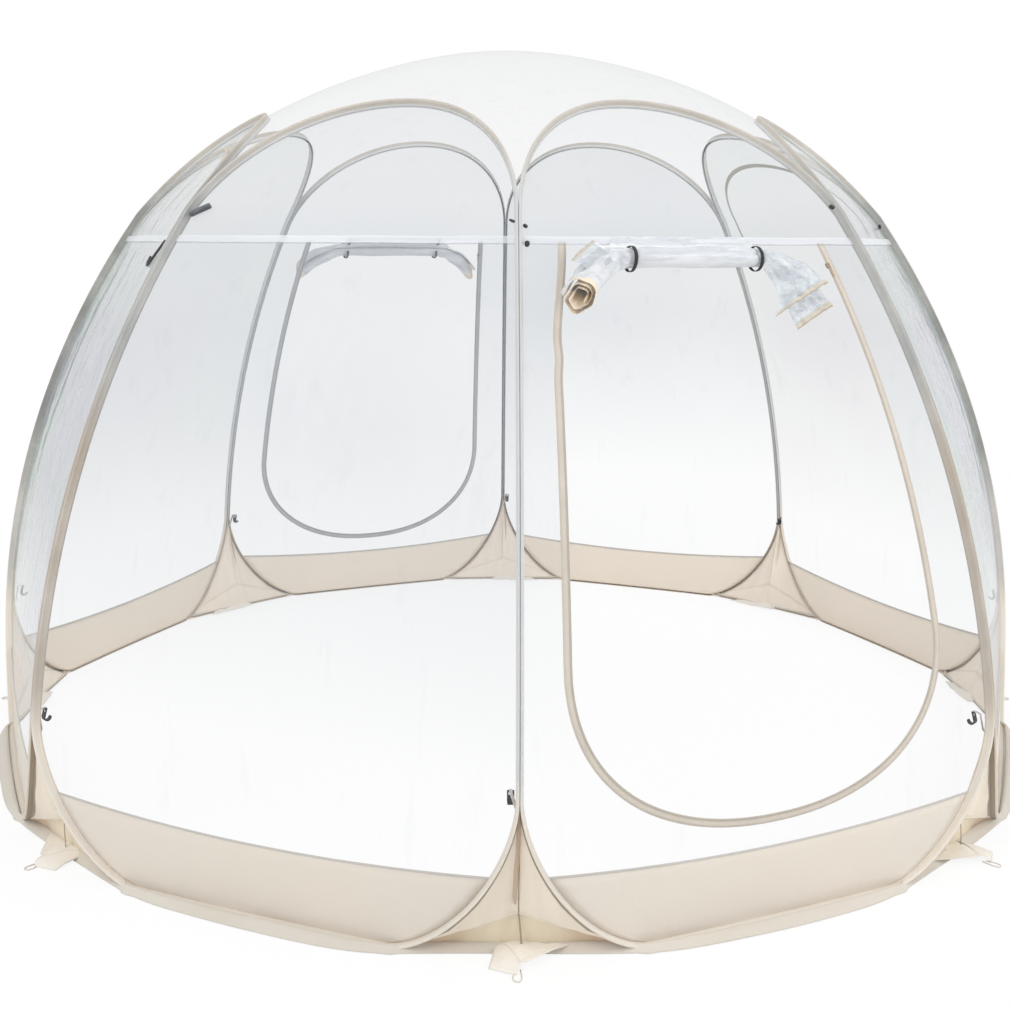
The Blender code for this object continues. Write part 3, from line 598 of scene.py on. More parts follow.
def wall_reach(z):
    """A panel's distance from the tent's axis, at the panel's middle."""
    rise = max(z - WALL_ARC_FOOT, 0.0)
    return FOOT_REACH - WALL_ARC_RADIUS + sqrt(WALL_ARC_RADIUS ** 2 - rise ** 2)


def wall_normal(z):
    """The level and the upright part of a wall's outward normal."""
    rise = max(z - WALL_ARC_FOOT, 0.0)
    return sqrt(WALL_ARC_RADIUS ** 2 - rise ** 2) / WALL_ARC_RADIUS, rise / WALL_ARC_RADIUS


def half_width(z):
    """Half of a panel's width, from its middle to the rib."""
    return wall_reach(z) * tan(HALF)


def rib_reach(z):
    """A rib's distance from the tent's axis."""
    return wall_reach(z) / cos(HALF)


def bow(x, z):
    """How far a panel is bowed outwards near the ground."""
    share = min(abs(x) / half_width(z), 1.0)
    return FOOT_BOW * max(1 - z / BOW_HEIGHT, 0.0) ** 1.5 * (1 - share ** 2)


def arch_profile(v):
    """Reach, height and normal of an arch, from spring line to peak."""
    spring = wall_reach(SPRING_HEIGHT)
    fall = ARCH_PEAK_REACH - spring
    bend = ARCH_PEAK_HEIGHT - SPRING_HEIGHT - ARCH_FIRST_RISE
    slope = ARCH_FIRST_RISE + 2 * bend * v
    length = sqrt(slope ** 2 + fall ** 2)
    height = SPRING_HEIGHT + ARCH_FIRST_RISE * v + bend * v ** 2
    return spring + fall * v, height, (slope / length, -fall / length)


def superellipse(turn, power):
    """The two shares of a point on a superellipse's quarter."""
    return max(cos(turn), 0.0) ** (2 / power), max(sin(turn), 0.0) ** (2 / power)


class Stitch:
    """One point of a hoop's sewing line, with the directions that its pieces follow."""

    def __init__(self, x, reach, z, profile_normal):
        self.place = Vector((x, -reach, z))
        level, up = profile_normal
        radial = Vector((x, -reach, 0)).normalized()
        self.normal = radial * level + Vector((0, 0, up))
        self.panel_normal = Vector((0, -level, up))

    def mirrored(self):
        other = Stitch.__new__(Stitch)
        other.place = FLIP @ self.place
        other.normal = FLIP @ self.normal
        other.panel_normal = self.panel_normal.copy()
        return other

    def settle(self, tangent):
        """Square the normal to the hoop, and find the ways towards its inside."""
        self.normal = (self.normal - tangent * self.normal.dot(tangent)).normalized()
        self.inward = self.normal.cross(tangent)
        flat = self.panel_normal - tangent * self.panel_normal.dot(tangent)
        self.panel_inward = flat.normalized().cross(tangent)

    def film_edge(self):
        """Where the panel's film meets the sleeve's inner side."""
        reach = SLEEVE_WIDTH + GAP / 2
        return self.place + self.panel_inward * (reach / self.panel_inward.dot(self.inward))

    def outer_edge(self):
        """Where cloth or film outside the hoop meets the sleeve."""
        return self.place - self.inward * (SEAM_GAP / 2)


def side_stitches():
    """The right side's stitches from the foot to the peak."""
    stitches = []
    band_turn = acos((1 - BAND_HEIGHT / FOOT_CURVE_HEIGHT) ** (FOOT_CURVE_POWER / 2))
    turns = [band_turn * i / FOOT_STEPS for i in range(FOOT_STEPS)]
    turns += [band_turn + (pi / 2 - band_turn) * i / FOOT_STEPS for i in range(FOOT_STEPS)]
    for turn in turns:
        fall, run = superellipse(turn, FOOT_CURVE_POWER)
        z = GAP + (FOOT_CURVE_HEIGHT - GAP) * (1 - fall)
        x = half_width(z) - FOOT_CURVE_WIDTH * (1 - run)
        stitches.append(Stitch(x, wall_reach(z) + bow(x, z), z, wall_normal(z)))
    for i in range(RIB_STEPS + 1):
        z = FOOT_CURVE_HEIGHT + (SEAM_HEIGHT - FOOT_CURVE_HEIGHT) * i / RIB_STEPS
        stitches.append(Stitch(half_width(z), wall_reach(z), z, wall_normal(z)))
    for i in range(ARCH_STEPS + 1):
        spread, v = superellipse(pi / 2 * i / ARCH_STEPS, ARCH_POWER)
        reach, z, normal = arch_profile(v)
        stitches.append(Stitch(spread * reach * tan(HALF), reach, z, normal))
    return stitches


def hoop_stitches():
    """All stitches round a hoop, and those of its right side."""
    side = side_stitches()
    foot = side[0].place.x
    ground = []
    for i in range(1, BOTTOM_STEPS):
        x = foot * (2 * i / BOTTOM_STEPS - 1)
        ground.append(Stitch(x, FOOT_REACH + bow(x, 0), GAP, (1, 0)))
    loop = ground + side + [stitch.mirrored() for stitch in reversed(side[:-1])]
    for before, stitch, after in zip(loop[-1:] + loop[:-1], loop, loop[1:] + loop[:1]):
        stitch.settle((after.place - before.place).normalized())
    return loop, side


LOOP, SIDE = hoop_stitches()
BAND_TOP = FOOT_STEPS
TANGENT = 2 * FOOT_STEPS
SPRING = TANGENT + RIB_STEPS + 1


def panel_row(edge, sag=0.0, lift=0.0):
    """A level row of points across a panel."""
    row = []
    for c in range(COLUMNS + 1):
        share = 2 * c / COLUMNS - 1
        x = share * edge.x
        y = edge.y - (bow(x, edge.z) - bow(edge.x, edge.z))
        row.append(Vector((x, y, edge.z - sag * (1 - share ** 2) + lift)))
    return row


def wall_point(x, z, out=0.0):
    """A point on a wall below the spring line, or off it."""
    level, up = wall_normal(z)
    reach = wall_reach(z) + bow(x, z)
    return Vector((x, -reach - out * level, z + out * up))


def edge_at(edges, z):
    """The edge point at a height."""
    for low, high in zip(edges, edges[1:]):
        if low.z <= z <= high.z:
            return low.lerp(high, (z - low.z) / (high.z - low.z))
    return edges[-1]


# ---------------------------------------------------------------- hoops and sleeves

def make_hoops():
    """The sprung wire, and the folded tape that holds it, pinched by its seam below the wire."""
    half, top = SLEEVE_WIDTH / 2, SLEEVE_OUTSIDE
    side = [(half, -SLEEVE_INSIDE), (half, 0.0), (half, 0.004), (half - 0.0009, 0.0078),
            (half - 0.0006, 0.0095), (half, 0.0125), (half - 0.0003, 0.0145),
            (half - 0.0013, 0.0166), (half - 0.0030, top - 0.0002)]
    outer = [(-a, n) for a, n in side] + [(0.0, top)] + list(reversed(side))
    inner = [(a * (half - 0.0008) / half, n - (0.0008 if n > 0.010 else 0.0))
             for a, n in reversed(outer)]
    profile = outer + inner
    wire_height = top - SLEEVE_CLOTH - HOOP_CLEARANCE - HOOP_DIAMETER / 2
    rings, wire = [], []
    for stitch in LOOP:
        z = stitch.place.z
        middle = stitch.place + stitch.inward * (half + GAP / 2)
        slim = 0.24 * clamp(z / 0.3) * clamp((1.86 - z) / 0.3)
        shrink = [slim * clamp((n + 0.002) / 0.006) for a, n in profile]
        rings.append([middle + stitch.inward * (a - (a + half) * k) + stitch.normal * n
                      for (a, n), k in zip(profile, shrink)])
        centre = middle + stitch.normal * wire_height - stitch.inward * (half * slim)
        round_it = [stitch.inward * cos(turn) + stitch.normal * sin(turn)
                    for turn in (pi * k / 4 for k in range(8))]
        wire.append([centre + way * HOOP_DIAMETER / 2 for way in round_it])
    heights = [n for a, n in profile]
    inside = [i >= len(outer) or max(n, heights[(i + 1) % len(heights)]) < 0.0045
              for i, n in enumerate(heights)]
    line = [i < len(outer) and outer[i][0] < 0 and max(n, heights[i + 1]) < 0.0130
            for i, n in enumerate(heights)]

    def face_kind(r, c):
        """The dark seam beside the gusset, the tape's inside in a copy painted lighter, or its
        outside.
        """
        return 2 if line[c] and 0.004 < LOOP[r].place.z < 0.44 else 1 if inside[c] else 0

    sleeve = surface("sleeve", rings, loop_rows=True, loop_columns=True, pick=face_kind)
    hoop = surface("hoop", wire, loop_rows=True, loop_columns=True)
    for name in PANELS:
        azimuth = panel_azimuth(name)
        piece(f"sprung_hoop_{name}", hoop, [STEEL], azimuth,
              stands_for=[f"hoop_{name}"])
        tape = piece(f"hoop_sleeve_{name}", sleeve, [SLEEVE, SLEEVE_INNER_LIT, SEAM],
                     azimuth, stands_for=[f"sleeve_{name}"])


# ---------------------------------------------------------------- cloth foot

def band_push(point, half):
    """Shallow folds: pulls from the corners, and a slow swell along the band."""
    edge = 1 - min(abs(point.x) / half, 1.0)
    pull = sin(point.x * 34 + point.z * 46 * (1 if point.x > 0 else -1)) * exp(-edge * 7) * 0.0016
    return (pull + rough(point, (7, 0, 9), 3.1) * 0.0030) * min(edge * 9, 1.0)


def make_bands():
    """The cloth bands along the panels' feet, with their bindings."""
    edges = [stitch.film_edge() for stitch in SIDE[:BAND_TOP + 1]]
    rows = []
    for i, edge in enumerate(edges):
        share = i / BAND_TOP
        row = panel_row(edge, sag=BAND_SAG * share ** 3)
        mask = min(share * 5, 1.0) * min((1 - share) * 5, 1.0)
        rows.append([p + Vector((0, -band_push(p, max(edge.x, 0.1)) * mask, 0)) for p in row])
    mesh = surface("band", rows)
    half = [(0.0009, 0.0004), (0.0016, -0.001), (0.0016, -0.0045), (0.0010, -0.0055)]
    profile = [(-a, b) for a, b in reversed(half)] + half
    edging = surface("band_binding", [[p + Vector((0, a, b)) for a, b in profile]
                                      for p in panel_row(edges[-1], sag=BAND_SAG)])
    for name in PANELS:
        azimuth = panel_azimuth(name)
        trim = piece(f"band_binding_{name}", edging, [BINDING], azimuth)
        band = piece(f"cloth_band_{name}", mesh, [BAND, BAND_INNER_LIT], azimuth,
                     stands_for=[f"band_{name}"])
        thicken(band, BAND_CLOTH, 1)


def gusset_columns():
    """Top and bottom points of a gusset across a corner, from left to right."""
    turn = Matrix.Rotation(-HALF, 3, "Z")
    foot = turn @ SIDE[0].place
    left = []
    half = 0.0008
    tops = [turn @ stitch.outer_edge() for stitch in SIDE[1:TANGENT]]
    tops.append(Vector((-half, -rib_reach(GUSSET_TOP), GUSSET_TOP)))
    for top in tops:
        if top.x <= -half + 1e-6:
            inside = 1 - min(top.x / foot.x, 1.0)
            reach = -foot.y + CORNER_BULGE * inside
            low = CORNER_LIFT * inside ** 1.5 + FLAP_CLOTH + SEAM_GAP
            left.append((top, Vector((top.x, -reach, low))))
    return left + [(FLIP @ high, FLIP @ low) for high, low in reversed(left)]


def fold(p, wide, narrow):
    """Four points across a narrow upright fold."""
    return [p + Vector((x, y, 0)) for x, y in
            ((-wide, 0.0010), (-narrow, -0.0006), (narrow, -0.0006), (wide, 0.0010))]


def gusset_seam(middle):
    """The dark seam down a gusset's middle, which turns aside below the arched fold."""
    seam = []
    for i, p in enumerate(middle[6:HEM_ROW + 1]):
        w = 0.0011 + 0.0010 * i / 9
        seam.append(fold(Vector((0.0012, p.y - 0.0016, p.z)), w, w * 0.6))
    end = seam[-1][1] + Vector((0.001, -0.001, 0))
    for t in (0.35, 0.7, 1.0):
        p = Vector((0.0012 + 0.008 * t, end.y - 0.003 * t, end.z * (1 - t) + 0.010 * t))
        seam.append(fold(p, 0.0024, 0.0013))
    return surface("gusset_seam", seam)


def gusset_pleat(arch):
    """The pleat beside the seam, from the gusset's top to the middle of its arched fold."""
    pleat = []
    peak = rib_reach(GUSSET_TOP)
    for i in range(PLEAT_STEPS + 1):
        t = i / PLEAT_STEPS
        z = PLEAT_TOP - PLEAT_LENGTH * t
        reach = peak + (abs(arch.y) - peak) * (GUSSET_TOP - z) / (GUSSET_TOP - arch.z)
        x = -0.0005 - 0.0075 * min(t * 1.6, 1.0)
        w = 0.0018 + 0.0066 * sin(pi * min(t * 0.9 + 0.08, 1.0))
        out = 0.0092 + 0.0050 * min(t * 3, 1.0) * (1 - t * 0.6)
        pleat.append([Vector((x - w, -reach - out * 0.6, z)),
                      Vector((x - w * 0.3, -reach - out - 0.0016, z)),
                      Vector((x + w * 0.5, -reach - out - 0.0008, z)),
                      Vector((x + w, -reach - out * 0.5, z))])
    return surface("gusset_pleat", pleat)


def make_gussets():
    """Each corner's cloth over its arched fold, with a middle seam and a pleat beside it."""
    columns = gusset_columns()
    foot = abs(columns[0][0].x)
    rows, line = [], []
    for high, low in columns:
        inside = 1 - min(abs(high.x) / foot, 1.0)
        hem = Vector((low.x, low.y, 0.0035 + FLAP_CLOTH))
        tall = high.z - hem.z
        arch = min(max((ARCH_LIFT * inside ** 0.9 - hem.z) / max(tall, 0.004), 0.02), 0.9)
        first = min((0.0120 + 0.0080 * (1 - inside)) / max(tall, 0.002), (1 - arch) * 0.6)
        row = []
        for i in range(GUSSET_STEPS + 1):
            under = i > HEM_ROW
            if under:
                t = 1 - arch + arch * (i - HEM_ROW - 1) / (GUSSET_STEPS - HEM_ROW - 1)
            else:
                t = 0.0 if i == 0 else first + (1 - arch - first) * (i - 1) / (HEM_ROW - 1)
            p = high.lerp(hem, t)
            mask = min(t * 6, 1.0) * min((1 - t) * 4, 1.0) * min(high.z / 0.08, 1.0)
            push = 0.0040 * exp(-(p.x / 0.010) ** 2) + rough(p, (26, 0, 9), 5.0) * 0.004
            push += (0.0045 * exp(-((p.x + 0.016) / 0.006) ** 2) * min(t * 3, 1.0)
                     * max(1 - t * 1.9, 0.0))
            push += 0.0022 * sin(abs(p.x) * 90 - t * 3)
            if under:
                push -= 0.0075 * min(inside * 3, 1.0)
            row.append(p + Vector((0, -push * mask, 0)))
        rows.append(row)
        line.append([row[HEM_ROW] + Vector((0, a, b)) for a, b in
                     ((-0.0004, 0.004), (-0.0014, 0.002), (-0.0014, -0.0006), (0.0, -0.0012))])
    mesh = surface("gusset", rows, pick=lambda r, c: 1 if c >= HEM_ROW else 2 if c == 0 else 0)
    middle = rows[len(rows) // 2]
    seam, pleat = gusset_seam(middle), gusset_pleat(middle[HEM_ROW])
    line = surface("gusset_line", line)
    for name in CORNERS:
        azimuth = corner_azimuth(name)
        trims = [piece(f"gusset_edge_{name}", line, [GUSSET], azimuth),
                 piece(f"gusset_seam_{name}", seam, [SEAM], azimuth),
                 piece(f"gusset_pleat_{name}", pleat, [PLEAT], azimuth)]
        gusset = piece(f"corner_gusset_{name}", mesh, [GUSSET, UNDER, SEAM, BAND_INNER_LIT],
                       azimuth, stands_for=[f"gusset_{name}"])
        thicken(gusset, BAND_CLOTH, 3)


def flap_feet():
    """The flap's inner edge on the ground, round one panel and its right corner."""
    turn = Matrix.Rotation(HALF, 3, "Z")
    columns = gusset_columns()
    first = columns[0][1].x
    corner = [Vector((low.x, low.y + 0.004 - 0.024 * max(1 - 5 * (1 - low.x / first), 0.0), 0))
              for high, low in columns[:len(columns) // 2]]
    corner.append(Vector((0, corner[-1].y, 0)))
    right = [turn @ p for p in corner]
    left = [FLIP @ p for p in reversed(right)]
    ends = [SIDE[0].place.lerp(SIDE[1].place, 0.3), SIDE[0].place]
    feet = [Vector((-p.x, p.y, 0)) for p in ends]
    feet += [Vector((stitch.place.x, stitch.place.y, 0)) for stitch in LOOP[:BOTTOM_STEPS - 1]]
    feet += [Vector((p.x, p.y, 0)) for p in reversed(ends)]
    panel = [foot + foot.normalized() * (SLEEVE_OUTSIDE + 2 * SEAM_GAP) for foot in feet]
    return left[1:] + panel + right


def make_flap():
    """The cloth skirt on the ground: it swells over the hem and lies in waves to an even edge."""
    feet = flap_feet()
    rows = []
    shares = (0.0, 0.05, 0.13, 0.24, 0.38, 0.55, 0.72, 0.88, 1.0)
    for name in reversed(PANELS):
        turn = Matrix.Rotation(-panel_azimuth(name), 3, "Z")
        for inner in feet:
            level = inner.normalized()
            side = abs(level.x / level.y)
            swell = FOOT_BOW * max(1 - (side / tan(HALF) * 1.3) ** 2, 0.0)
            panel = FOOT_REACH + SLEEVE_OUTSIDE + swell
            corner = FOOT_REACH + 0.025
            ends = (abs(level.y) / panel, cos(HALF - atan(side)) / corner)
            even = sum(end ** 120 for end in ends) ** (-1 / 120)
            foot, away = turn @ inner, turn @ level
            width = FLAP_WIDTH * (1.0 + 0.20 * wavy(foot.x * 3.1, foot.y * 3.1, 7.7))
            width = max(even + width - foot.length, 0.02)
            row = []
            for share in shares:
                p = foot + away * (width * share)
                wave = wavy(p.x * 6.5, p.y * 6.5, 0.3) * 0.5 + 0.5
                ripple = wavy(p.x * 19, p.y * 19, 4.3) * 0.5 + 0.5
                p.z = 0.0075 * (1 - share) ** 1.6 + FLAP_CLOTH
                p.z += (FLAP_FOLD * (0.9 + 1.1 * wave) + 0.004 * ripple) * sin(pi * share ** 0.62)
                row.append(p)
            rows.append(row)
    mesh = surface("flap", rows, loop_rows=True, pick=lambda r, c: 1 if c == 0 else 0)
    flap = piece("foot_flap", mesh, [FLAP, SEAM], stands_for=["ground_flap"])
    thicken(flap, FLAP_CLOTH * 0.8)


def make_tabs():
    """The pegging tab in front of each corner: its tip folded over, a cord loop sewn under it."""
    left, right = Vector((-0.050, -1.678, 0.0090)), Vector((0.172, -1.672, 0.0075))
    tip = Vector((0.004, -1.792, 0.020))
    low_left, low_tip = Vector((-0.070, -1.795, 0.0035)), Vector((-0.006, -1.822, 0.0035))
    loop = ((0.004, -1.800, 0.0036), (0.006, -1.830, 0.0026), (0.001, -1.846, 0.0022),
            (-0.012, -1.842, 0.0022), (-0.014, -1.826, 0.0026), (-0.006, -1.806, 0.0036))
    for k, name in enumerate(CORNERS):
        azimuth = corner_azimuth(name)
        flip = -1 if k % 3 == 1 else 1
        lift = 1 + 0.5 * wavy(k * 3.7, 1.1, 0)

        def upper(u, v):
            root = left.lerp(right, v) + Vector((0, 0.006 * sin(pi * v), 0))
            p = root.lerp(tip + (right - left) * (v * 0.07), u)
            p.z += lift * (0.013 * sin(pi * min(u * 1.1, 1.0))
                           * (0.35 + 0.65 * exp(-((v - 0.22) / 0.2) ** 2)))
            p.z += 0.003 * wavy(v * 5, u * 4, k)
            return Vector((p.x * flip, p.y, max(p.z, TAB_REST)))

        def lower(u, v):
            top = left.lerp(tip, v)
            top.z += lift * 0.013 * sin(pi * min(v * 1.1, 1.0)) * 0.72
            p = top.lerp(low_left.lerp(low_tip, v), u)
            p.y -= 0.006 * sin(pi * u)
            p.z += 0.004 * sin(pi * u) + 0.002 * wavy(v * 4, u * 5, k + 40)
            return Vector((p.x * flip, p.y, max(p.z, TAB_REST)))

        mesh = join(f"tab_{name}", [surface("tab_upper", grid(14, 24, upper)),
                                    surface("tab_lower", grid(12, 12, lower))])
        path = smooth_path([Vector((x * flip, y, z)) for x, y, z in loop], 6)
        cord = sweep("loop", path, 0.0019, 6)
        cord = piece(f"peg_loop_{name}", cord, [CORD], azimuth)
        tab = piece(f"peg_tab_{name}", mesh, [TAB], azimuth)
        thicken(tab, TAB_CLOTH)


# ---------------------------------------------------------------- films

def film_push(point, edge_share, seed):
    """Slow bulges and upright creases, none at the sewn edges."""
    mask = min(edge_share * 6, 1.0)
    slow = rough(point, (2.2, 0, 1.3), seed) * 0.006
    return (slow + rough(point, (11, 0, 1.6), seed + 7) * 0.0022) * mask


def pushed(rows, seed):
    """The rows moved off the wall by film_push, and not at the shoulder seam."""
    made = []
    count = len(rows) - 1
    for i, row in enumerate(rows):
        out = []
        wide = len(row) - 1
        for c, p in enumerate(row):
            share = min(c, wide - c) / wide
            ends = min(i, count - i) / count
            level, up = wall_normal(min(p.z, SPRING_HEIGHT))
            flat = min(abs(p.z - SEAM_HEIGHT + 0.008) / 0.09, 1.0)
            push = flat * film_push(p, min(share * 1.5, ends * 2.5), seed)
            out.append(p + Vector((0, -level, up)) * push)
        made.append(out)
    return made


def slack(name, p):
    """The open front door lets the film beside it sag towards the front rib."""
    if name != DOORS["front"]:
        return p
    z = p.z
    depth = smooth(clamp((1.67 - z) / 0.30)) * (0.55 + 0.45 * clamp((z - 0.2) / 0.5))
    inside = clamp((half_width(z) - abs(p.x)) / (half_width(z) * (1 - DOOR_SHARE)))
    side = clamp(0.5 - p.x / 0.7)
    wave = 0.005 * exp(-((z - 1.375) / 0.028) ** 2) * inside * (1 if p.x < 0 else 0)
    return p + Vector((wave - DOOR_SLACK * depth * inside * side, 0, 0))


def door_outline(steps_side=44, steps_curve=30):
    """The right half of a door's opening, from the shoulder seam to its lowest point."""
    fall = DOOR_TOP - DOOR_CURVE_TOP
    heights = [DOOR_TOP - fall * i / steps_side for i in range(steps_side + 1)]
    points = [(DOOR_SHARE * half_width(z), z) for z in heights]
    widest, curve_top = points[-1]
    for i in range(1, steps_curve + 1):
        run, fall = superellipse(pi / 2 * i / steps_curve, DOOR_POWER)
        points.append((widest * run, curve_top - (curve_top - DOOR_BOTTOM) * fall))
    return points


def inset_outline(points, distance):
    """The outline moved inwards, its top kept at the shoulder seam."""
    moved = []
    for i, (x, z) in enumerate(points):
        before = Vector(points[max(i - 1, 0)])
        after = points[i + 1] if i + 1 < len(points) else (-points[i - 1][0], points[i - 1][1])
        along = (Vector(after) - before).normalized()
        moved.append((x + along.y * distance, z - along.x * distance))
    moved[0] = (moved[0][0], points[0][1] - SEAM_GAP)
    return moved


def resample(path, count):
    """Points at equal distances along a path."""
    lengths = [0.0]
    for a, b in zip(path, path[1:]):
        lengths.append(lengths[-1] + (b - a).length)
    out, k = [], 0
    for i in range(count):
        target = lengths[-1] * i / (count - 1)
        while k < len(path) - 2 and lengths[k + 1] < target:
            k += 1
        step = lengths[k + 1] - lengths[k]
        out.append(path[k].lerp(path[k + 1], (target - lengths[k]) / step if step else 0.0))
    return out


def make_walls():
    """The eight walls of clear film. A door's wall is a frame round its opening."""
    edges = [stitch.film_edge() for stitch in SIDE[BAND_TOP:]]
    sag = [BAND_SAG * max(1 - (edge.z - BAND_HEIGHT) / 0.14, 0.0) for edge in edges]
    rows = [panel_row(edge, sag=s, lift=SEAM_GAP if i == 0 else 0)
            for i, (edge, s) in enumerate(zip(edges, sag))]
    top = [row for row in rows if row[0].z >= SEAM_HEIGHT + 0.02]
    top.insert(0, panel_row(edge_at(edges, SEAM_HEIGHT - 0.004)))
    outline = door_outline()
    side_count = sum(1 for x, z in outline if z >= DOOR_CURVE_TOP - 1e-6)
    door = [wall_point(x, z) for x, z in outline]
    upper = [edge_at(edges, p.z) for p in door[:side_count]]
    lower = [edge for edge in reversed(edges) if edge.z < upper[-1].z]
    lower = [upper[-1]] + lower + list(reversed(rows[0][COLUMNS // 2:]))
    lower = resample(lower, len(door) - side_count + 1)[1:]
    across = 10
    right = []
    for a, b in zip(upper + lower, door):
        strip = []
        for i in range(across + 1):
            p = a.lerp(b, i / across)
            on_wall = Vector((p.x, wall_point(p.x, p.z).y, p.z))
            strip.append(p.lerp(on_wall, min(min(i, across - i) / 2, 1.0)))
        right.append(strip)
    for k, name in enumerate(PANELS):
        if name in DOORS.values():
            sagged = [[slack(name, p) for p in row] for row in both_sides(right)]
            mesh = join(f"wall_{name}", [surface("below", pushed(sagged, 1.7 * k)),
                                         surface("above", pushed(top, 1.7 * k + 3))])
        else:
            mesh = surface(f"wall_{name}", pushed(rows, 1.7 * k))
        film = piece(f"clear_wall_{name}", mesh, [WALL_FILMS.get(name, OUTER_FILM)],
                     panel_azimuth(name), stands_for=[f"wall_{name}"])


def make_seam_tapes():
    """The welded seam across each panel at the shoulder, where the doors hang."""
    edges = [stitch.film_edge() for stitch in SIDE[BAND_TOP:]]
    rows = []
    for drop, out in ((-0.0030, 0.0006), (-0.0005, 0.0014), (0.0070, 0.0021), (0.0140, 0.0017),
                      (0.0150, 0.0012), (0.0175, 0.0011), (0.0180, 0.0006)):
        z = SEAM_HEIGHT - drop
        edge = edge_at(edges, z)
        level, up = wall_normal(z)
        row = []
        for c in range(SEAM_COLUMNS + 1):
            x = edge.x * (2 * c / SEAM_COLUMNS - 1)
            wave = wavy(x * 9, 0, 1.7) * 0.0012
            row.append(Vector((x, edge.y - out * level, z + out * up + wave)))
        rows.append(row)
    mesh = surface("seam_tape", rows, pick=lambda r, c: 1 if r >= 4 else 0)
    for name in PANELS:
        tape = piece(f"shoulder_seam_{name}", mesh, [SEAM_TAPE, SEAM_LINE],
                     panel_azimuth(name))


def make_roof():
    """The dome of clear film between the eight arches, which sags a little at its top."""
    arch = [stitch.outer_edge() for stitch in SIDE[SPRING + 1:]]
    low, high = SIDE[SPRING].place, SIDE[SPRING + 4].place
    tip = Matrix.Rotation(-HALF, 3, "Z") @ (low + high) / 2
    tip.x = 0.0
    tip = Matrix.Rotation(HALF, 3, "Z") @ tip
    half = [tip] + arch[3:]
    edge_line = half + [FLIP @ p for p in reversed(half[:-1])]
    apex = APEX_HEIGHT - ROOF_SAG
    rings = 26
    rows = []
    for name in reversed(PANELS):
        turn = Matrix.Rotation(-panel_azimuth(name), 3, "Z")
        for point in reversed(edge_line[1:]):
            edge = turn @ point
            row = []
            for i in range(rings + 1):
                share = 1 - i / rings
                steep = (apex - edge.z) / edge.xy.length ** ROOF_ROUNDNESS
                even = share ** 4
                fall = ((steep * even + ROOF_FALL * (1 - even))
                        * (edge.xy.length * share) ** ROOF_ROUNDNESS)
                p = Vector((edge.x * share, edge.y * share, apex - fall))
                mask = min((1 - share) * 6, 1.0) * min(share * 5, 1.0)
                push = wavy(p.x * 2.1, p.y * 2.1, 9.0) * 0.003
                push -= abs(wavy(p.x * 5.5, p.y * 5.5, 2.0)) * 0.001
                row.append(p + Vector((0, 0, push * mask)))
            rows.append(row)
    mesh = surface("roof", rows, loop_rows=True)
    roof = piece("clear_roof", mesh, [ROOF], stands_for=["roof_cap"])


# ---------------------------------------------------------------- zips

TAPE_PROFILE = ((0.0, -0.0005), (0.0, 0.0006), (0.008, 0.0007), (0.0155, 0.0007), (0.0165, 0.0012),
                (0.0190, 0.0014), (0.0212, 0.0011), (0.0220, 0.0), (0.0212, -0.0011),
                (0.0190, -0.0014), (0.0165, -0.0012), (0.0155, -0.0006), (0.008, -0.0006))


def tape_mesh(panel, outline):
    """A zip tape along half an outline and its mirror image, grey on its inside."""
    lines = [inset_outline(outline, SEAM_GAP + across) for across, out in TAPE_PROFILE]
    right = [[wall_point(*line[i], out) for line, (across, out) in zip(lines, TAPE_PROFILE)]
             for i in range(len(outline))]
    rows = [[slack(panel, p) for p in row] for row in both_sides(right)]
    return surface(f"zip_{panel}", rows, loop_columns=True, pick=lambda r, c: 1 if c >= 7 else 0)


def make_zips():
    """The zip tapes round both doors."""
    outline = door_outline(60, 44)
    for door, panel in DOORS.items():
        mesh = tape_mesh(panel, outline)
        tape = piece(f"{door}_door_zip_tape", mesh, [ZIP, ZIP_BACK],
                     panel_azimuth(panel), stands_for=[f"{door}_door_zip"])


def arch_point(x, v, out=0.0):
    """A point on a panel's film above the spring line."""
    reach, z, (level, up) = arch_profile(v)
    return Vector((x, -reach - out * level, z + out * up))


def vent_point(x, z, out):
    """A point on a panel's film, above or below the spring line."""
    if z <= SPRING_HEIGHT:
        return wall_point(x, z, out)
    low, high = 0.0, 1.0
    for _ in range(24):
        v = (low + high) / 2
        if arch_profile(v)[1] < z:
            low = v
        else:
            high = v
    return arch_point(x, low, out)


def make_vents():
    """The half-moon zips over the shoulder seam of two panels."""
    rows = []
    for i in range(VENT_STEPS + 1):
        turn = pi * i / VENT_STEPS
        x, rise = VENT_HALF_WIDTH * cos(turn), VENT_RISE * sin(turn) ** 0.86
        along = Vector((-VENT_HALF_WIDTH * sin(turn), VENT_RISE * cos(turn)))
        along.normalize()
        normal = Vector((along.y, -along.x))
        base = SEAM_HEIGHT + 0.006 + rise
        row = []
        for across, out in ((0.0, 0.0009), (0.004, 0.0019), (0.008, 0.0019),
                            (VENT_TAPE_WIDTH, 0.0009)):
            z = base - normal.y * across * sin(turn)
            row.append(vent_point(x - normal.x * across, z, out + 0.004))
        rows.append(row)
    mesh = surface("vent_zip", rows)
    for name in VENTS:
        vent = piece(f"vent_zip_{name}", mesh, [ZIP], panel_azimuth(name))


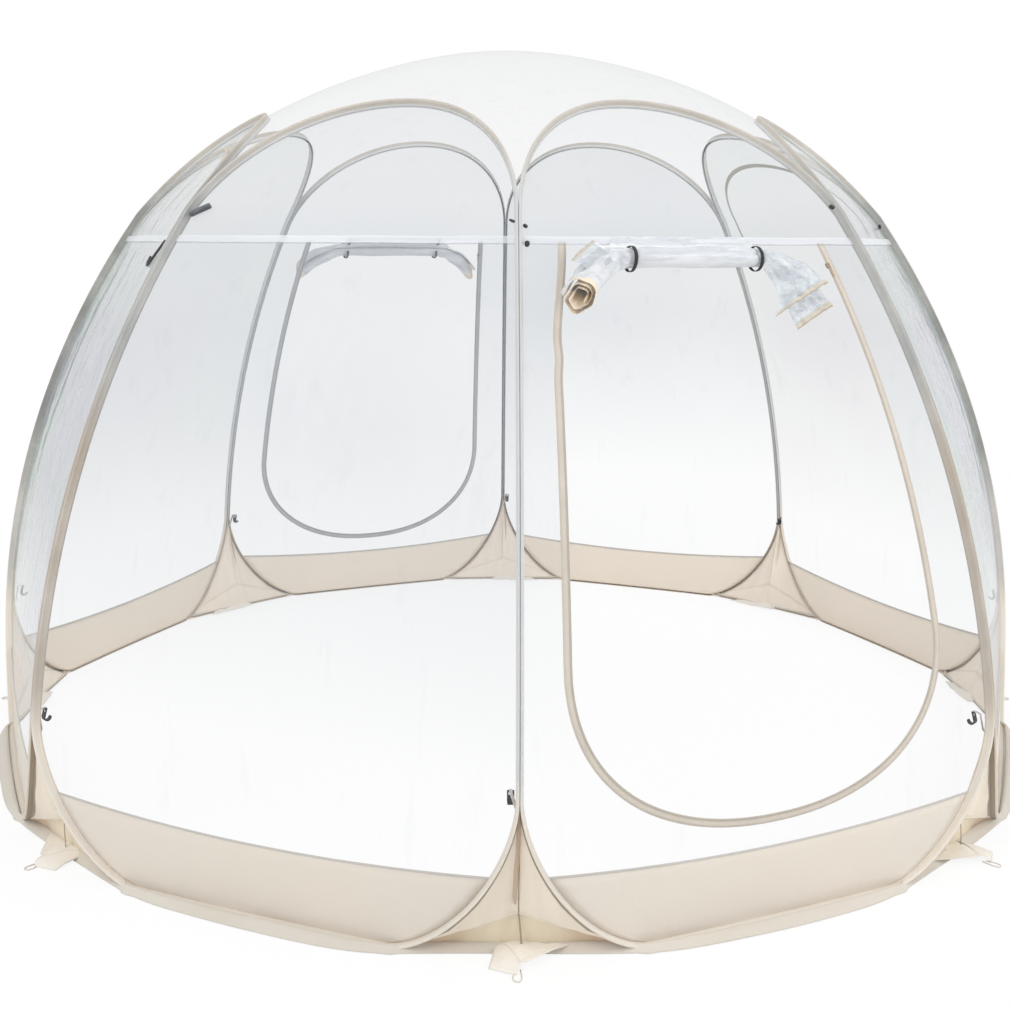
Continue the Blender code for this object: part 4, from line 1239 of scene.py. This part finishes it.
def slider_frame(side):
    """A slider's middle, and its ways down, inwards and off the tape."""
    inner = inset_outline(door_outline(12, 9), SEAM_GAP + TAPE_WIDTH)
    high = wall_point(side * inner[0][0], inner[0][1])
    z = SEAM_HEIGHT - (SEAM_HEIGHT - FOOT_CURVE_HEIGHT) / 15
    low = wall_point(side * (DOOR_SHARE * half_width(z) - SEAM_GAP - TAPE_WIDTH), z)
    down = (low - high).normalized()
    level, up = wall_normal(SEAM_HEIGHT - SLIDER_BELOW_SEAM)
    out = Vector((0, -level, up))
    out = (out - down * out.dot(down)).normalized()
    inward = out.cross(down)
    if inward.x * side > 0:
        inward = -inward
    share = SLIDER_BELOW_SEAM / (high.z - low.z)
    return high.lerp(low, share), down, inward, out


def box_mesh(name, frame_axes, low, high, taper=1.0):
    """A box in a slider's frame, narrower at its lower end."""
    middle, down, inward, out = frame_axes
    points = []
    for along in (low[0], high[0]):
        narrow = taper if along == high[0] else 1.0
        centre = (low[1] + high[1]) / 2
        for across, n in ((low[1], low[2]), (high[1], low[2]), high[1:], (low[1], high[2])):
            side = centre + (across - centre) * narrow
            points.append(middle + down * along + inward * side + out * n)
    faces = [(0, 1, 2, 3), (7, 6, 5, 4), (0, 4, 5, 1), (1, 5, 6, 2), (2, 6, 7, 3), (3, 7, 4, 0)]
    return build(name, points, faces)


def make_sliders():
    """The zips' sliders, each with a ring and a pull."""
    face = TAPE_CLOTH / 2 + SLIDER_CLEARANCE
    back = face + SLIDER_PLATE
    end = SLIDER_CLEARANCE + SLIDER_PLATE
    half = SLIDER_LENGTH / 2
    for door, panel in DOORS.items():
        axes = slider_frame(SLIDER_SIDE[door])
        middle, down, inward, out = axes
        parts = [box_mesh("front", axes, (-half, -SLIDER_REACH, face), (half, end, back), 0.78),
                 box_mesh("back", axes, (-half, -SLIDER_REACH, -back), (half, end, -face), 0.78),
                 box_mesh("web", axes, (-half, SLIDER_CLEARANCE, -back), (half, end, back)),
                 box_mesh("bridge", axes, (-half * 0.6, -0.0042, back - 0.0001),
                          (half * 0.5, -0.0022, back + 0.0022))]
        pull = [(0.0040, -0.0052), (half + 0.004, -0.0056), (half + PULL_LENGTH * 0.7, -0.0062),
                (half + PULL_LENGTH, -0.0052)]
        pull += [(a, -0.0064 - b) for a, b in reversed(pull)]
        path = [middle + down * a + inward * b + out * (back + 0.0004) for a, b in pull]
        ring = sweep("ring", smooth_path(path, 5, closed=True), 0.0009, 6, closed=True, up=out)
        tab = box_mesh("pull", axes, (half + PULL_LENGTH * 0.45, -0.0058, back - 0.0002),
                       (half + PULL_LENGTH, -0.0006, back + 0.0010), 0.8)
        mesh = join(f"{door}_slider", parts + [ring, tab])
        mesh.polygons.foreach_set("use_smooth", [False] * len(mesh.polygons))
        slider = piece(f"{door}_zip_slider", mesh, [BRONZE], panel_azimuth(panel),
                       body=f"{door}_door_slider", stands_for=[f"{door}_door_slider"])
        round_edges(slider, 0.0004)


# ---------------------------------------------------------------- rolled doors

TIES = {"front": 0.182, "back": 0.199}
SHIFTS = {"front": -0.048, "back": 0.008}
SEEDS = {"front": 11.0, "back": 23.0}
SHORTER = {"front": 0.024, "back": 0.012}
SWELLS = {"front": ((0.0, 0.88), (0.16, 0.98), (0.42, 1.30), (0.72, 1.36), (1.0, 1.42)),
          "back": ((0.0, 0.88), (0.25, 1.05), (0.65, 1.22), (1.0, 1.10))}
ROLL_TURNS = 2.7
TURN_STEPS = 26
ROLL_STATIONS = 96
FAN_STEPS = 24
FAN_COLUMNS = 36
FANS = (
    ("loose_right",
     ((0.137, 0.112, 0.047), (0.150, 0.130, 0.050), (0.161, 0.168, 0.050), (0.157, 0.226, 0.045),
      (0.143, 0.247, 0.040)),
     ((0.140, 0.066, 0.044), (0.160, 0.062, 0.050), (0.209, 0.073, 0.050), (0.293, 0.118, 0.045),
      (0.326, 0.150, 0.040)), 0.030, 0.012, 1.3, 1.0),
    ("loose_right_under",
     ((0.145, 0.118, 0.040), (0.165, 0.160, 0.036), (0.190, 0.230, 0.028), (0.200, 0.272, 0.024)),
     ((0.180, 0.090, 0.040), (0.250, 0.120, 0.036), (0.305, 0.165, 0.028), (0.330, 0.206, 0.024)),
     0.016, 0.016, 6.1, 1.0),
    ("loose_left",
     ((-0.300, 0.118, 0.084), (-0.312, 0.092, 0.084), (-0.322, 0.072, 0.074),
      (-0.328, 0.052, 0.060)),
     ((-0.388, 0.170, 0.100), (-0.396, 0.150, 0.100), (-0.406, 0.134, 0.096),
      (-0.414, 0.122, 0.084)),
     0.012, 0.010, 3.7, 0.2),
)
SEAM_LEVEL, SEAM_UP = wall_normal(SEAM_HEIGHT)
SEAM_OUT = Vector((0, -SEAM_LEVEL, SEAM_UP))
SEAM_DOWN = Vector((0, -SEAM_UP, -SEAM_LEVEL))


def tail_swell(door, share):
    """The rolled end's radius as a share of the roll's, along the tail."""
    table = SWELLS[door]
    for (a, low), (b, high) in zip(table, table[1:]):
        if a <= share <= b:
            return low + (high - low) * smooth((share - a) / (b - a))
    return table[-1][1]


def roll_profile(door, x, reach):
    """Distance below the seam, radius and share of the tail, at x from the roll's middle."""
    far = TIES[door] + TIE_WIDTH
    away = abs(x)
    if away > TIES[door]:
        share = clamp((away - far) / (reach - far))
        fall = TAIL_FALL * (1.20 if door == "front" else 1.0) * share ** 1.7
        return ROLL_DROP + fall, ROLL_RADIUS * tail_swell(door, share), share
    pinch = exp(-((away - TIES[door]) / 0.020) ** 2)
    return ROLL_DROP, ROLL_RADIUS - TIE_SQUEEZE * pinch, 0.0


def door_place(x, drop=0.0, out=0.0):
    """A point from its distances along, down and off the wall at the shoulder seam."""
    return Vector((x, -wall_reach(SEAM_HEIGHT) - out * SEAM_LEVEL - drop * SEAM_UP,
                   SEAM_HEIGHT + out * SEAM_UP - drop * SEAM_LEVEL))


def fan(name, left, right, bulge, hem, seed, creased):
    """A loose end of the door: crumpled film that spreads from its tie, with its hem."""
    left, right = (resample([door_place(*p) for p in side], FAN_STEPS + 1)
                   for side in (left, right))
    rows = []
    for i, (a, b) in enumerate(zip(left, right)):
        t = i / FAN_STEPS
        row = []
        for j in range(FAN_COLUMNS + 1):
            v = j / FAN_COLUMNS
            ridge = sin(v * 21 + seed + 2.0 * t) * 0.0035 + sin(v * 47 - t * 7 + seed) * 0.0018
            ridge += wavy(v * 6, t * 5, seed) * 0.012 + abs(wavy(v * 13, t * 8, seed + 3)) * 0.009
            ridge *= creased * min(t * 3, 1.0) * min(v * 8, (1 - v) * 8, 1.0)
            swell = bulge * sin(pi * v) ** 0.8 * (0.55 + 0.45 * t)
            row.append(a.lerp(b, v) + SEAM_OUT * (swell + ridge))
        rows.append(row)
    edge = rows[FAN_STEPS]
    along = [(p - q).normalized() for p, q in zip(edge, rows[-4])]
    for step, lift in ((0.15, 0.0016), (0.55, 0.0022), (0.80, 0.0016), (0.90, 0.0014), (1.0, 0.0)):
        rows.append([p + d * (hem * step) + SEAM_OUT * lift for p, d in zip(edge, along)])
    return surface(name, rows,
                   pick=lambda r, c: 3 if r >= FAN_STEPS + 3 else 1 if r >= FAN_STEPS else 2)


def roll_mesh(door, reach):
    """The wound film. The front roll's left end is open, and its right end stops at the fans."""
    front = door == "front"
    shift, seed = SHIFTS[door], SEEDS[door]
    end = TIES[door] + 0.022 if front else reach
    out, down = SEAM_OUT, SEAM_DOWN
    rows = []
    for i in range(ROLL_STATIONS + 1):
        x = -reach + (reach + end) * i / ROLL_STATIONS
        drop, radius, loose = roll_profile(door, x, reach)
        ahead, behind = (roll_profile(door, x + step, reach)[0] for step in (0.004, -0.004))
        free = min(loose * 5, 1.0)
        lean = 0.042 * loose ** 2 if front else 0.0
        slope = 0.0062 * loose if front else 0.0
        open_end = max(loose - 0.75, 0.0) * 4 if front else 0.0
        along = (Vector((0.008, 0, 0)) + down * (ahead - behind) - out * slope).normalized()
        high = out.cross(along).normalized()
        if high.z < 0:
            high = -high
        face = along.cross(high)
        if face.dot(out) < 0:
            face = -face
        seam = door_place(x + shift)
        middle = seam + down * drop + out * (radius * 1.02 + ROLL_OFF_WALL + lean)
        top = seam + out * 0.0026 - down * TAIL_RISE * 0.5
        tail = face * cos(TAIL_ANGLE) + high * sin(TAIL_ANGLE)
        start, hang = middle + tail * radius, middle + tail * radius * 1.12
        row = [top.lerp(hang, free).lerp(start, t) for t in (0.0, 0.35, 0.7)]
        for k in range(int(ROLL_TURNS * TURN_STEPS) + 1):
            angle = TAIL_ANGLE - 2 * pi * k / TURN_STEPS
            inside = k / (ROLL_TURNS * TURN_STEPS)
            r = radius * (1 - (0.74 - 0.10 * open_end) * inside ** 0.85)
            bend = (sin(angle * 2 + x * 26 + seed) * 0.10
                    + sin(angle * 5 - x * 41 + seed) * 0.05 * (0.4 + free))
            bend += wavy(x * 16, cos(angle) * 1.6, sin(angle) * 1.6 + seed) * (0.10 + 0.30 * free)
            crease = exp(-((angle - radians(10) - 0.25 * sin(x * 24 + 1)) / 0.16) ** 2)
            crease *= 1 - free
            r *= (1 - 0.06 * (1 - free) - 0.12 * free
                  + bend * (0.35 + (0.65 - 0.6 * open_end) * free) - 0.20 * crease)
            slide = along * (0.012 * free * sin(angle + seed) * (1 if x > 0 else -1))
            slide -= along * (0.010 * open_end * sin(inside * 9 + angle * 0.5))
            around = face * cos(angle) + high * sin(angle)
            row.append(middle + slide + around * min(r, radius * 1.04))
        rows.append(row)
    last = ROLL_STATIONS + 1 if front else ROLL_STATIONS - 3

    def face_kind(r, c):
        """The hem, in a copy painted lighter, on the roll's inner turns near its ends and all
        round at the very end.
        """
        return 4 if (r < 5 or r >= last) and c > (28 if 1 < r < last else 2) else 0

    return surface(f"{door}_roll", rows, pick=face_kind)


def make_rolls():
    """The doors' film wound up, tight between its ties and loose at its ends."""
    for door, panel in DOORS.items():
        reach = DOOR_SHARE * half_width(DOOR_TOP) + ROLL_OVERHANG - SHORTER[door]
        parts = [roll_mesh(door, reach)]
        if door == "front":
            parts += [fan(*values) for values in FANS]
        mesh = join(f"{door}_roll", parts)
        roll = piece(f"{door}_rolled_door", mesh, [ROLLED, HEM, LOOSE, HEM_EDGE, ROLL_END_HEM_LIT],
                     panel_azimuth(panel), stands_for=[f"{door}_door_roll"])
        for side, sign in (("left", -1), ("right", 1)):
            make_tie(door, panel, side, sign)


def make_tie(door, panel, side, sign):
    """A loop of black elastic round the roll, sewn in at the shoulder seam."""
    out, down, across = SEAM_OUT, SEAM_DOWN, Vector((1, 0, 0))
    seat = ROLL_RADIUS - TIE_SQUEEZE + 0.0006
    seam = door_place(sign * TIES[door] + SHIFTS[door])
    middle = seam + down * ROLL_DROP + out * (ROLL_RADIUS - TIE_SQUEEZE + ROLL_OFF_WALL)
    path = [seam + out * 0.0010 + down * 0.004, seam + out * 0.0040 + down * 0.030]
    for k in range(TIE_STEPS - 3):
        angle = TAIL_ANGLE - radians(18) - 2 * pi * k / TIE_STEPS
        path.append(middle + (out * cos(angle) - down * sin(angle)) * (seat + TIE_THICKNESS / 2)
                    + across * (-sign * 0.10 * sin(angle) * seat * 0.4))
    rows = []
    w, t = TIE_SEEN_WIDTH / 2, TIE_THICKNESS / 2
    profile = ((-w, -t * 0.5), (-w, t * 0.5), (-w * 0.8, t), (0, t * 1.15), (w * 0.8, t),
               (w, t * 0.5), (w, -t * 0.5), (w * 0.8, -t), (0, -t * 1.1), (-w * 0.8, -t))
    for i, p in enumerate(path):
        ahead = path[min(i + 1, len(path) - 1)] - path[max(i - 1, 0)]
        flat = ahead.cross(across).normalized()
        rows.append([p + across * a + flat * n for a, n in profile])
    mesh = surface(f"{door}_tie_{side}", rows, loop_columns=True)
    tie = piece(f"{door}_elastic_tie_{side}", mesh, [ELASTIC], panel_azimuth(panel),
                stands_for=[f"{door}_roll_tie_{side}"])


# ---------------------------------------------------------------- hooks and small fittings

LOOP_RADIUS = HOOK_BAR / sqrt(2) + LOOP_CLEARANCE + BAND_CLOTH / 2
BAR_REACH = (rib_reach(HOOK_HEIGHT) - SLEEVE_INSIDE - LOOP_BACK - LOOP_REACH - LOOP_RADIUS
             - BAND_CLOTH / 2)
BAR_HEIGHT = HOOK_HEIGHT - LOOP_RADIUS


def hook_mesh():
    """The hook's plate with its slot, and its curl."""
    half = HOOK_BAR / 2
    pairs = [((half, z), (-half, z)) for z in (half, -half, -half - HOOK_SLOT, -HOOK_DROP)]
    for i in range(1, CURL_STEPS + 1):
        turn = -radians(200 * i / CURL_STEPS)
        pairs.append(tuple((radius * cos(turn) - HOOK_CURL, radius * sin(turn) - HOOK_DROP)
                           for radius in (HOOK_CURL + half, HOOK_CURL - half)))
    level, up = cos(HOOK_LEAN), sin(HOOK_LEAN)
    pairs = [tuple((reach * level - z * up, reach * up + z * level) for reach, z in pair)
             for pair in pairs]
    slot = LOOP_WIDTH / 2 + LOOP_ROOM
    points = []
    for i, pair in enumerate(pairs):
        wide = HOOK_WIDTH / 2 if i < 4 else HOOK_WIDTH / 2 * (1 - 0.32 * (i - 3) / CURL_STEPS)
        inner = min(slot, wide * 0.6)
        for reach, z in pair:
            points += [Vector((x, -reach, z)) for x in (-wide, -inner, inner, wide)]
    cells = {(i, j) for i in range(len(pairs) - 1) for j in range(3)} - {(1, 1)}
    faces = []
    for i, j in sorted(cells):
        a, b = 8 * i + j, 8 * (i + 1) + j
        faces += [(a, a + 1, b + 1, b), (a + 4, b + 4, b + 5, a + 5)]
        if (i - 1, j) not in cells:
            faces.append((a, a + 4, a + 5, a + 1))
        if (i + 1, j) not in cells:
            faces.append((b, b + 1, b + 5, b + 4))
        if (i, j - 1) not in cells:
            faces.append((a, b, b + 4, a + 4))
        if (i, j + 1) not in cells:
            faces.append((a + 1, a + 5, b + 5, b + 1))
    return build("hook", points, faces)


def make_hooks():
    """The plastic hooks inside the corners, each in a tape loop that is sewn to its gusset."""
    hook = hook_mesh()
    path = [(0, rib_reach(LOOP_HEIGHT) - 0.001, LOOP_HEIGHT - 0.012),
            (0, rib_reach(LOOP_HEIGHT) - 0.006, LOOP_HEIGHT)]
    for share in (0.12, 0.4, 0.7, 0.93):
        z = LOOP_HEIGHT + (HOOK_HEIGHT - LOOP_HEIGHT) * share
        path.append((LOOP_SIDE * share, rib_reach(z) - SLEEVE_INSIDE - LOOP_BACK, z))
    for i in range(11):
        turn = radians(70 + 28 * i)
        path.append((LOOP_SIDE, BAR_REACH + LOOP_RADIUS * cos(turn),
                     BAR_HEIGHT + LOOP_RADIUS * sin(turn)))
    path = smooth_path([Vector((x, -reach, z)) for x, reach, z in path], 4)
    rows = [[p + Vector((x, 0, 0)) for x in (-LOOP_WIDTH / 2, 0, LOOP_WIDTH / 2)] for p in path]
    strap = surface("hook_strap", rows)
    for name in CORNERS:
        azimuth = corner_azimuth(name)
        loop = piece(f"hook_loop_{name}", strap, [BINDING], azimuth)
        thicken(loop, STRAP_CLOTH)
        thing = piece(f"corner_hook_{name}", hook, [HOOK], azimuth,
                      body=f"hook_{name}", stands_for=[f"hook_{name}"],
                      place=Vector((LOOP_SIDE, -BAR_REACH, BAR_HEIGHT)))
        round_edges(thing, 0.0009, 3)


def toggle(place, along, length, thick):
    """A short rounded toggle."""
    along = along.normalized()
    path = [place + along * (length * (i / 12 - 0.5)) for i in range(13)]

    def radius(t):
        return thick * (1 - (2 * min(max(t, 0.02), 0.98) - 1) ** 4) ** 0.5 + 0.0004

    return sweep("toggle", path, radius, 10, up=Vector((0.1, 0.9, 0.3)))


def make_fittings():
    """The small black toggles and hooks on the shoulders, and the grey clip."""
    spots = {"front_right": [((-0.474, 1.679), (1.0, 0, -0.5), 0.012, 0.0044),
                             ((-0.482, 1.636), (0.15, 0, 1.0), 0.015, 0.0058),
                             ((0.476, 1.737), (1.0, 0, -0.35), 0.018, 0.0054)],
             "right_front": [((0.383, 1.695), (1.0, 0, -0.8), 0.020, 0.0052)],
             "front_left": [((0.497, 1.692), (1.0, 0, -0.4), 0.016, 0.0032)]}
    for name, places in spots.items():
        for i, ((x, z), along, length, thick) in enumerate(places):
            limit = half_width(min(z, SPRING_HEIGHT)) - SLEEVE_WIDTH - 0.006
            x = min(x, limit) if x > 0 else max(x, -limit)
            place = vent_point(x, z, thick + 0.001)
            piece(f"toggle_{name}_{i + 1}", toggle(place, Vector(along), length, thick), [HOOK],
                  panel_azimuth(name))
    path = [vent_point(x, z, 0.011) for x, z in ((-0.466, 1.706), (-0.462, 1.708), (-0.440, 1.718),
                                                 (-0.416, 1.728), (-0.412, 1.730))]
    mesh = sweep("clip", path, lambda t: 0.0115 if 0.1 < t < 0.9 else 0.0095, 12, flat=0.7)
    clip = piece("shoulder_clip", mesh, [CLIP], panel_azimuth("front_left"))
    round_edges(clip, 0.001)
    path = [vent_point(x, z, 0.006) for x, z in ((0.404, 1.640), (0.382, 1.616), (0.358, 1.590),
                                                 (0.346, 1.578), (0.330, 1.572), (0.313, 1.580),
                                                 (0.310, 1.596))]
    piece("shoulder_hook", sweep("hook", smooth_path(path, 5), 0.0036, 8), [HOOK],
          panel_azimuth("left_front"))


make_hoops()
make_bands()
make_gussets()
make_flap()
make_tabs()
make_walls()
make_seam_tapes()
make_roof()
make_zips()
make_vents()
make_sliders()
make_rolls()
make_hooks()
make_fittings()


# ---------------------------------------------------------------- floor, light and camera

PHOTO_WIDTH = 1010
SENSOR_WIDTH = 36.0
LAMP_SIZE = 4.0
FLOOR_REACH = 60
FLOOR_DROP = 0.0004
CAMERA_PLACE = (-0.072, -4.483, 1.644)


def white_rays(n):
    """Whether a ray comes from the camera, straight or by way of shine or clear film."""
    rays = n.add("ShaderNodeLightPath").outputs
    seen = n.math("MAXIMUM", rays["Is Camera Ray"], rays["Is Glossy Ray"])
    return n.math("MAXIMUM", seen, rays["Is Transmission Ray"])


def blend(n, share, first, second, output):
    """Two shaders mixed into a tree's output."""
    both = n.fill(n.add("ShaderNodeMixShader"),
                  enumerate((share, first.outputs[0], second.outputs[0])))
    n.fill(output, [("Surface", both.outputs[0])])


def make_stage():
    """A wide floor, white to the camera and a little darker round the tent."""
    mesh = bpy.data.meshes.new("floor")
    corners = ((-1, -1), (1, -1), (1, 1), (-1, 1))
    mesh.from_pydata([(x * FLOOR_REACH, y * FLOOR_REACH, 0) for x, y in corners], [],
                     [(0, 1, 2, 3)])
    floor = add_object("floor", mesh)
    floor.location.z = -FLOOR_DROP
    n = Nodes("pale floor")
    material = n.finish(Base_Color=(0.93, 0.93, 0.93, 1), Roughness=0.95, Specular_IOR_Level=0.1)
    glow = n.add("ShaderNodeEmission", Color=(1, 1, 1, 1), Strength=1.0)
    away = n.add("ShaderNodeVectorMath", "LENGTH", Vector=n.object()).outputs["Value"]
    share = n.times(white_rays(n), n.ramp(away, 1.7, 3.4, 0.88, 1.0))
    blend(n, share, n.shader, glow, n.tree.nodes["Material Output"])
    mesh.materials.append(material)


def make_world():
    """White to the camera, and dimmer as light on the tent."""
    world = bpy.data.worlds.new("studio")
    bpy.context.scene.world = world
    n = Nodes(world)
    n.tree.nodes.clear()
    dim = n.add("ShaderNodeBackground", Color=(0.97, 0.985, 1.0, 1), Strength=0.70)
    white = n.add("ShaderNodeBackground", Color=(1, 1, 1, 1), Strength=1.0)
    blend(n, white_rays(n), dim, white, n.add("ShaderNodeOutputWorld"))


def make_light(name, place, aim, power):
    lamp = bpy.data.lights.new(name, "AREA")
    lamp.shape = "DISK"
    lamp.size = LAMP_SIZE
    lamp.energy = power
    thing = add_object(name, lamp)
    thing.location = place
    thing.rotation_euler = (Vector(aim) - Vector(place)).to_track_quat("-Z", "Y").to_euler()


def make_camera():
    """The photograph's view, solved from the tent's own corners."""
    yaw, pitch, roll, pixels = 0.0132, -0.2018, 0.0046, 1286.45
    camera = bpy.data.cameras.new("camera")
    camera.sensor_fit = "HORIZONTAL"
    camera.sensor_width = SENSOR_WIDTH
    camera.lens = pixels / PHOTO_WIDTH * SENSOR_WIDTH
    camera.clip_end = 200
    thing = add_object("camera", camera)
    ahead = Vector((sin(yaw) * cos(pitch), cos(yaw) * cos(pitch), sin(pitch)))
    right = Vector((cos(yaw), -sin(yaw), 0))
    up = right.cross(ahead)
    tilt_right = right * cos(roll) + up * sin(roll)
    tilt_up = up * cos(roll) - right * sin(roll)
    axes = Matrix((tilt_right, tilt_up, -ahead)).transposed().to_4x4()
    thing.matrix_world = Matrix.Translation(CAMERA_PLACE) @ axes
    bpy.context.scene.camera = thing


make_stage()
make_world()
make_light("key", (-3.5, -5.0, 5.5), (0, 0, 0.9), 185)
make_light("fill", (5.0, -3.0, 3.5), (0, 0, 0.9), 125)
make_light("back", (1.0, 6.0, 4.5), (0, 0, 1.0), 90)
make_camera()
bpy.context.scene.view_settings.view_transform = "Standard"
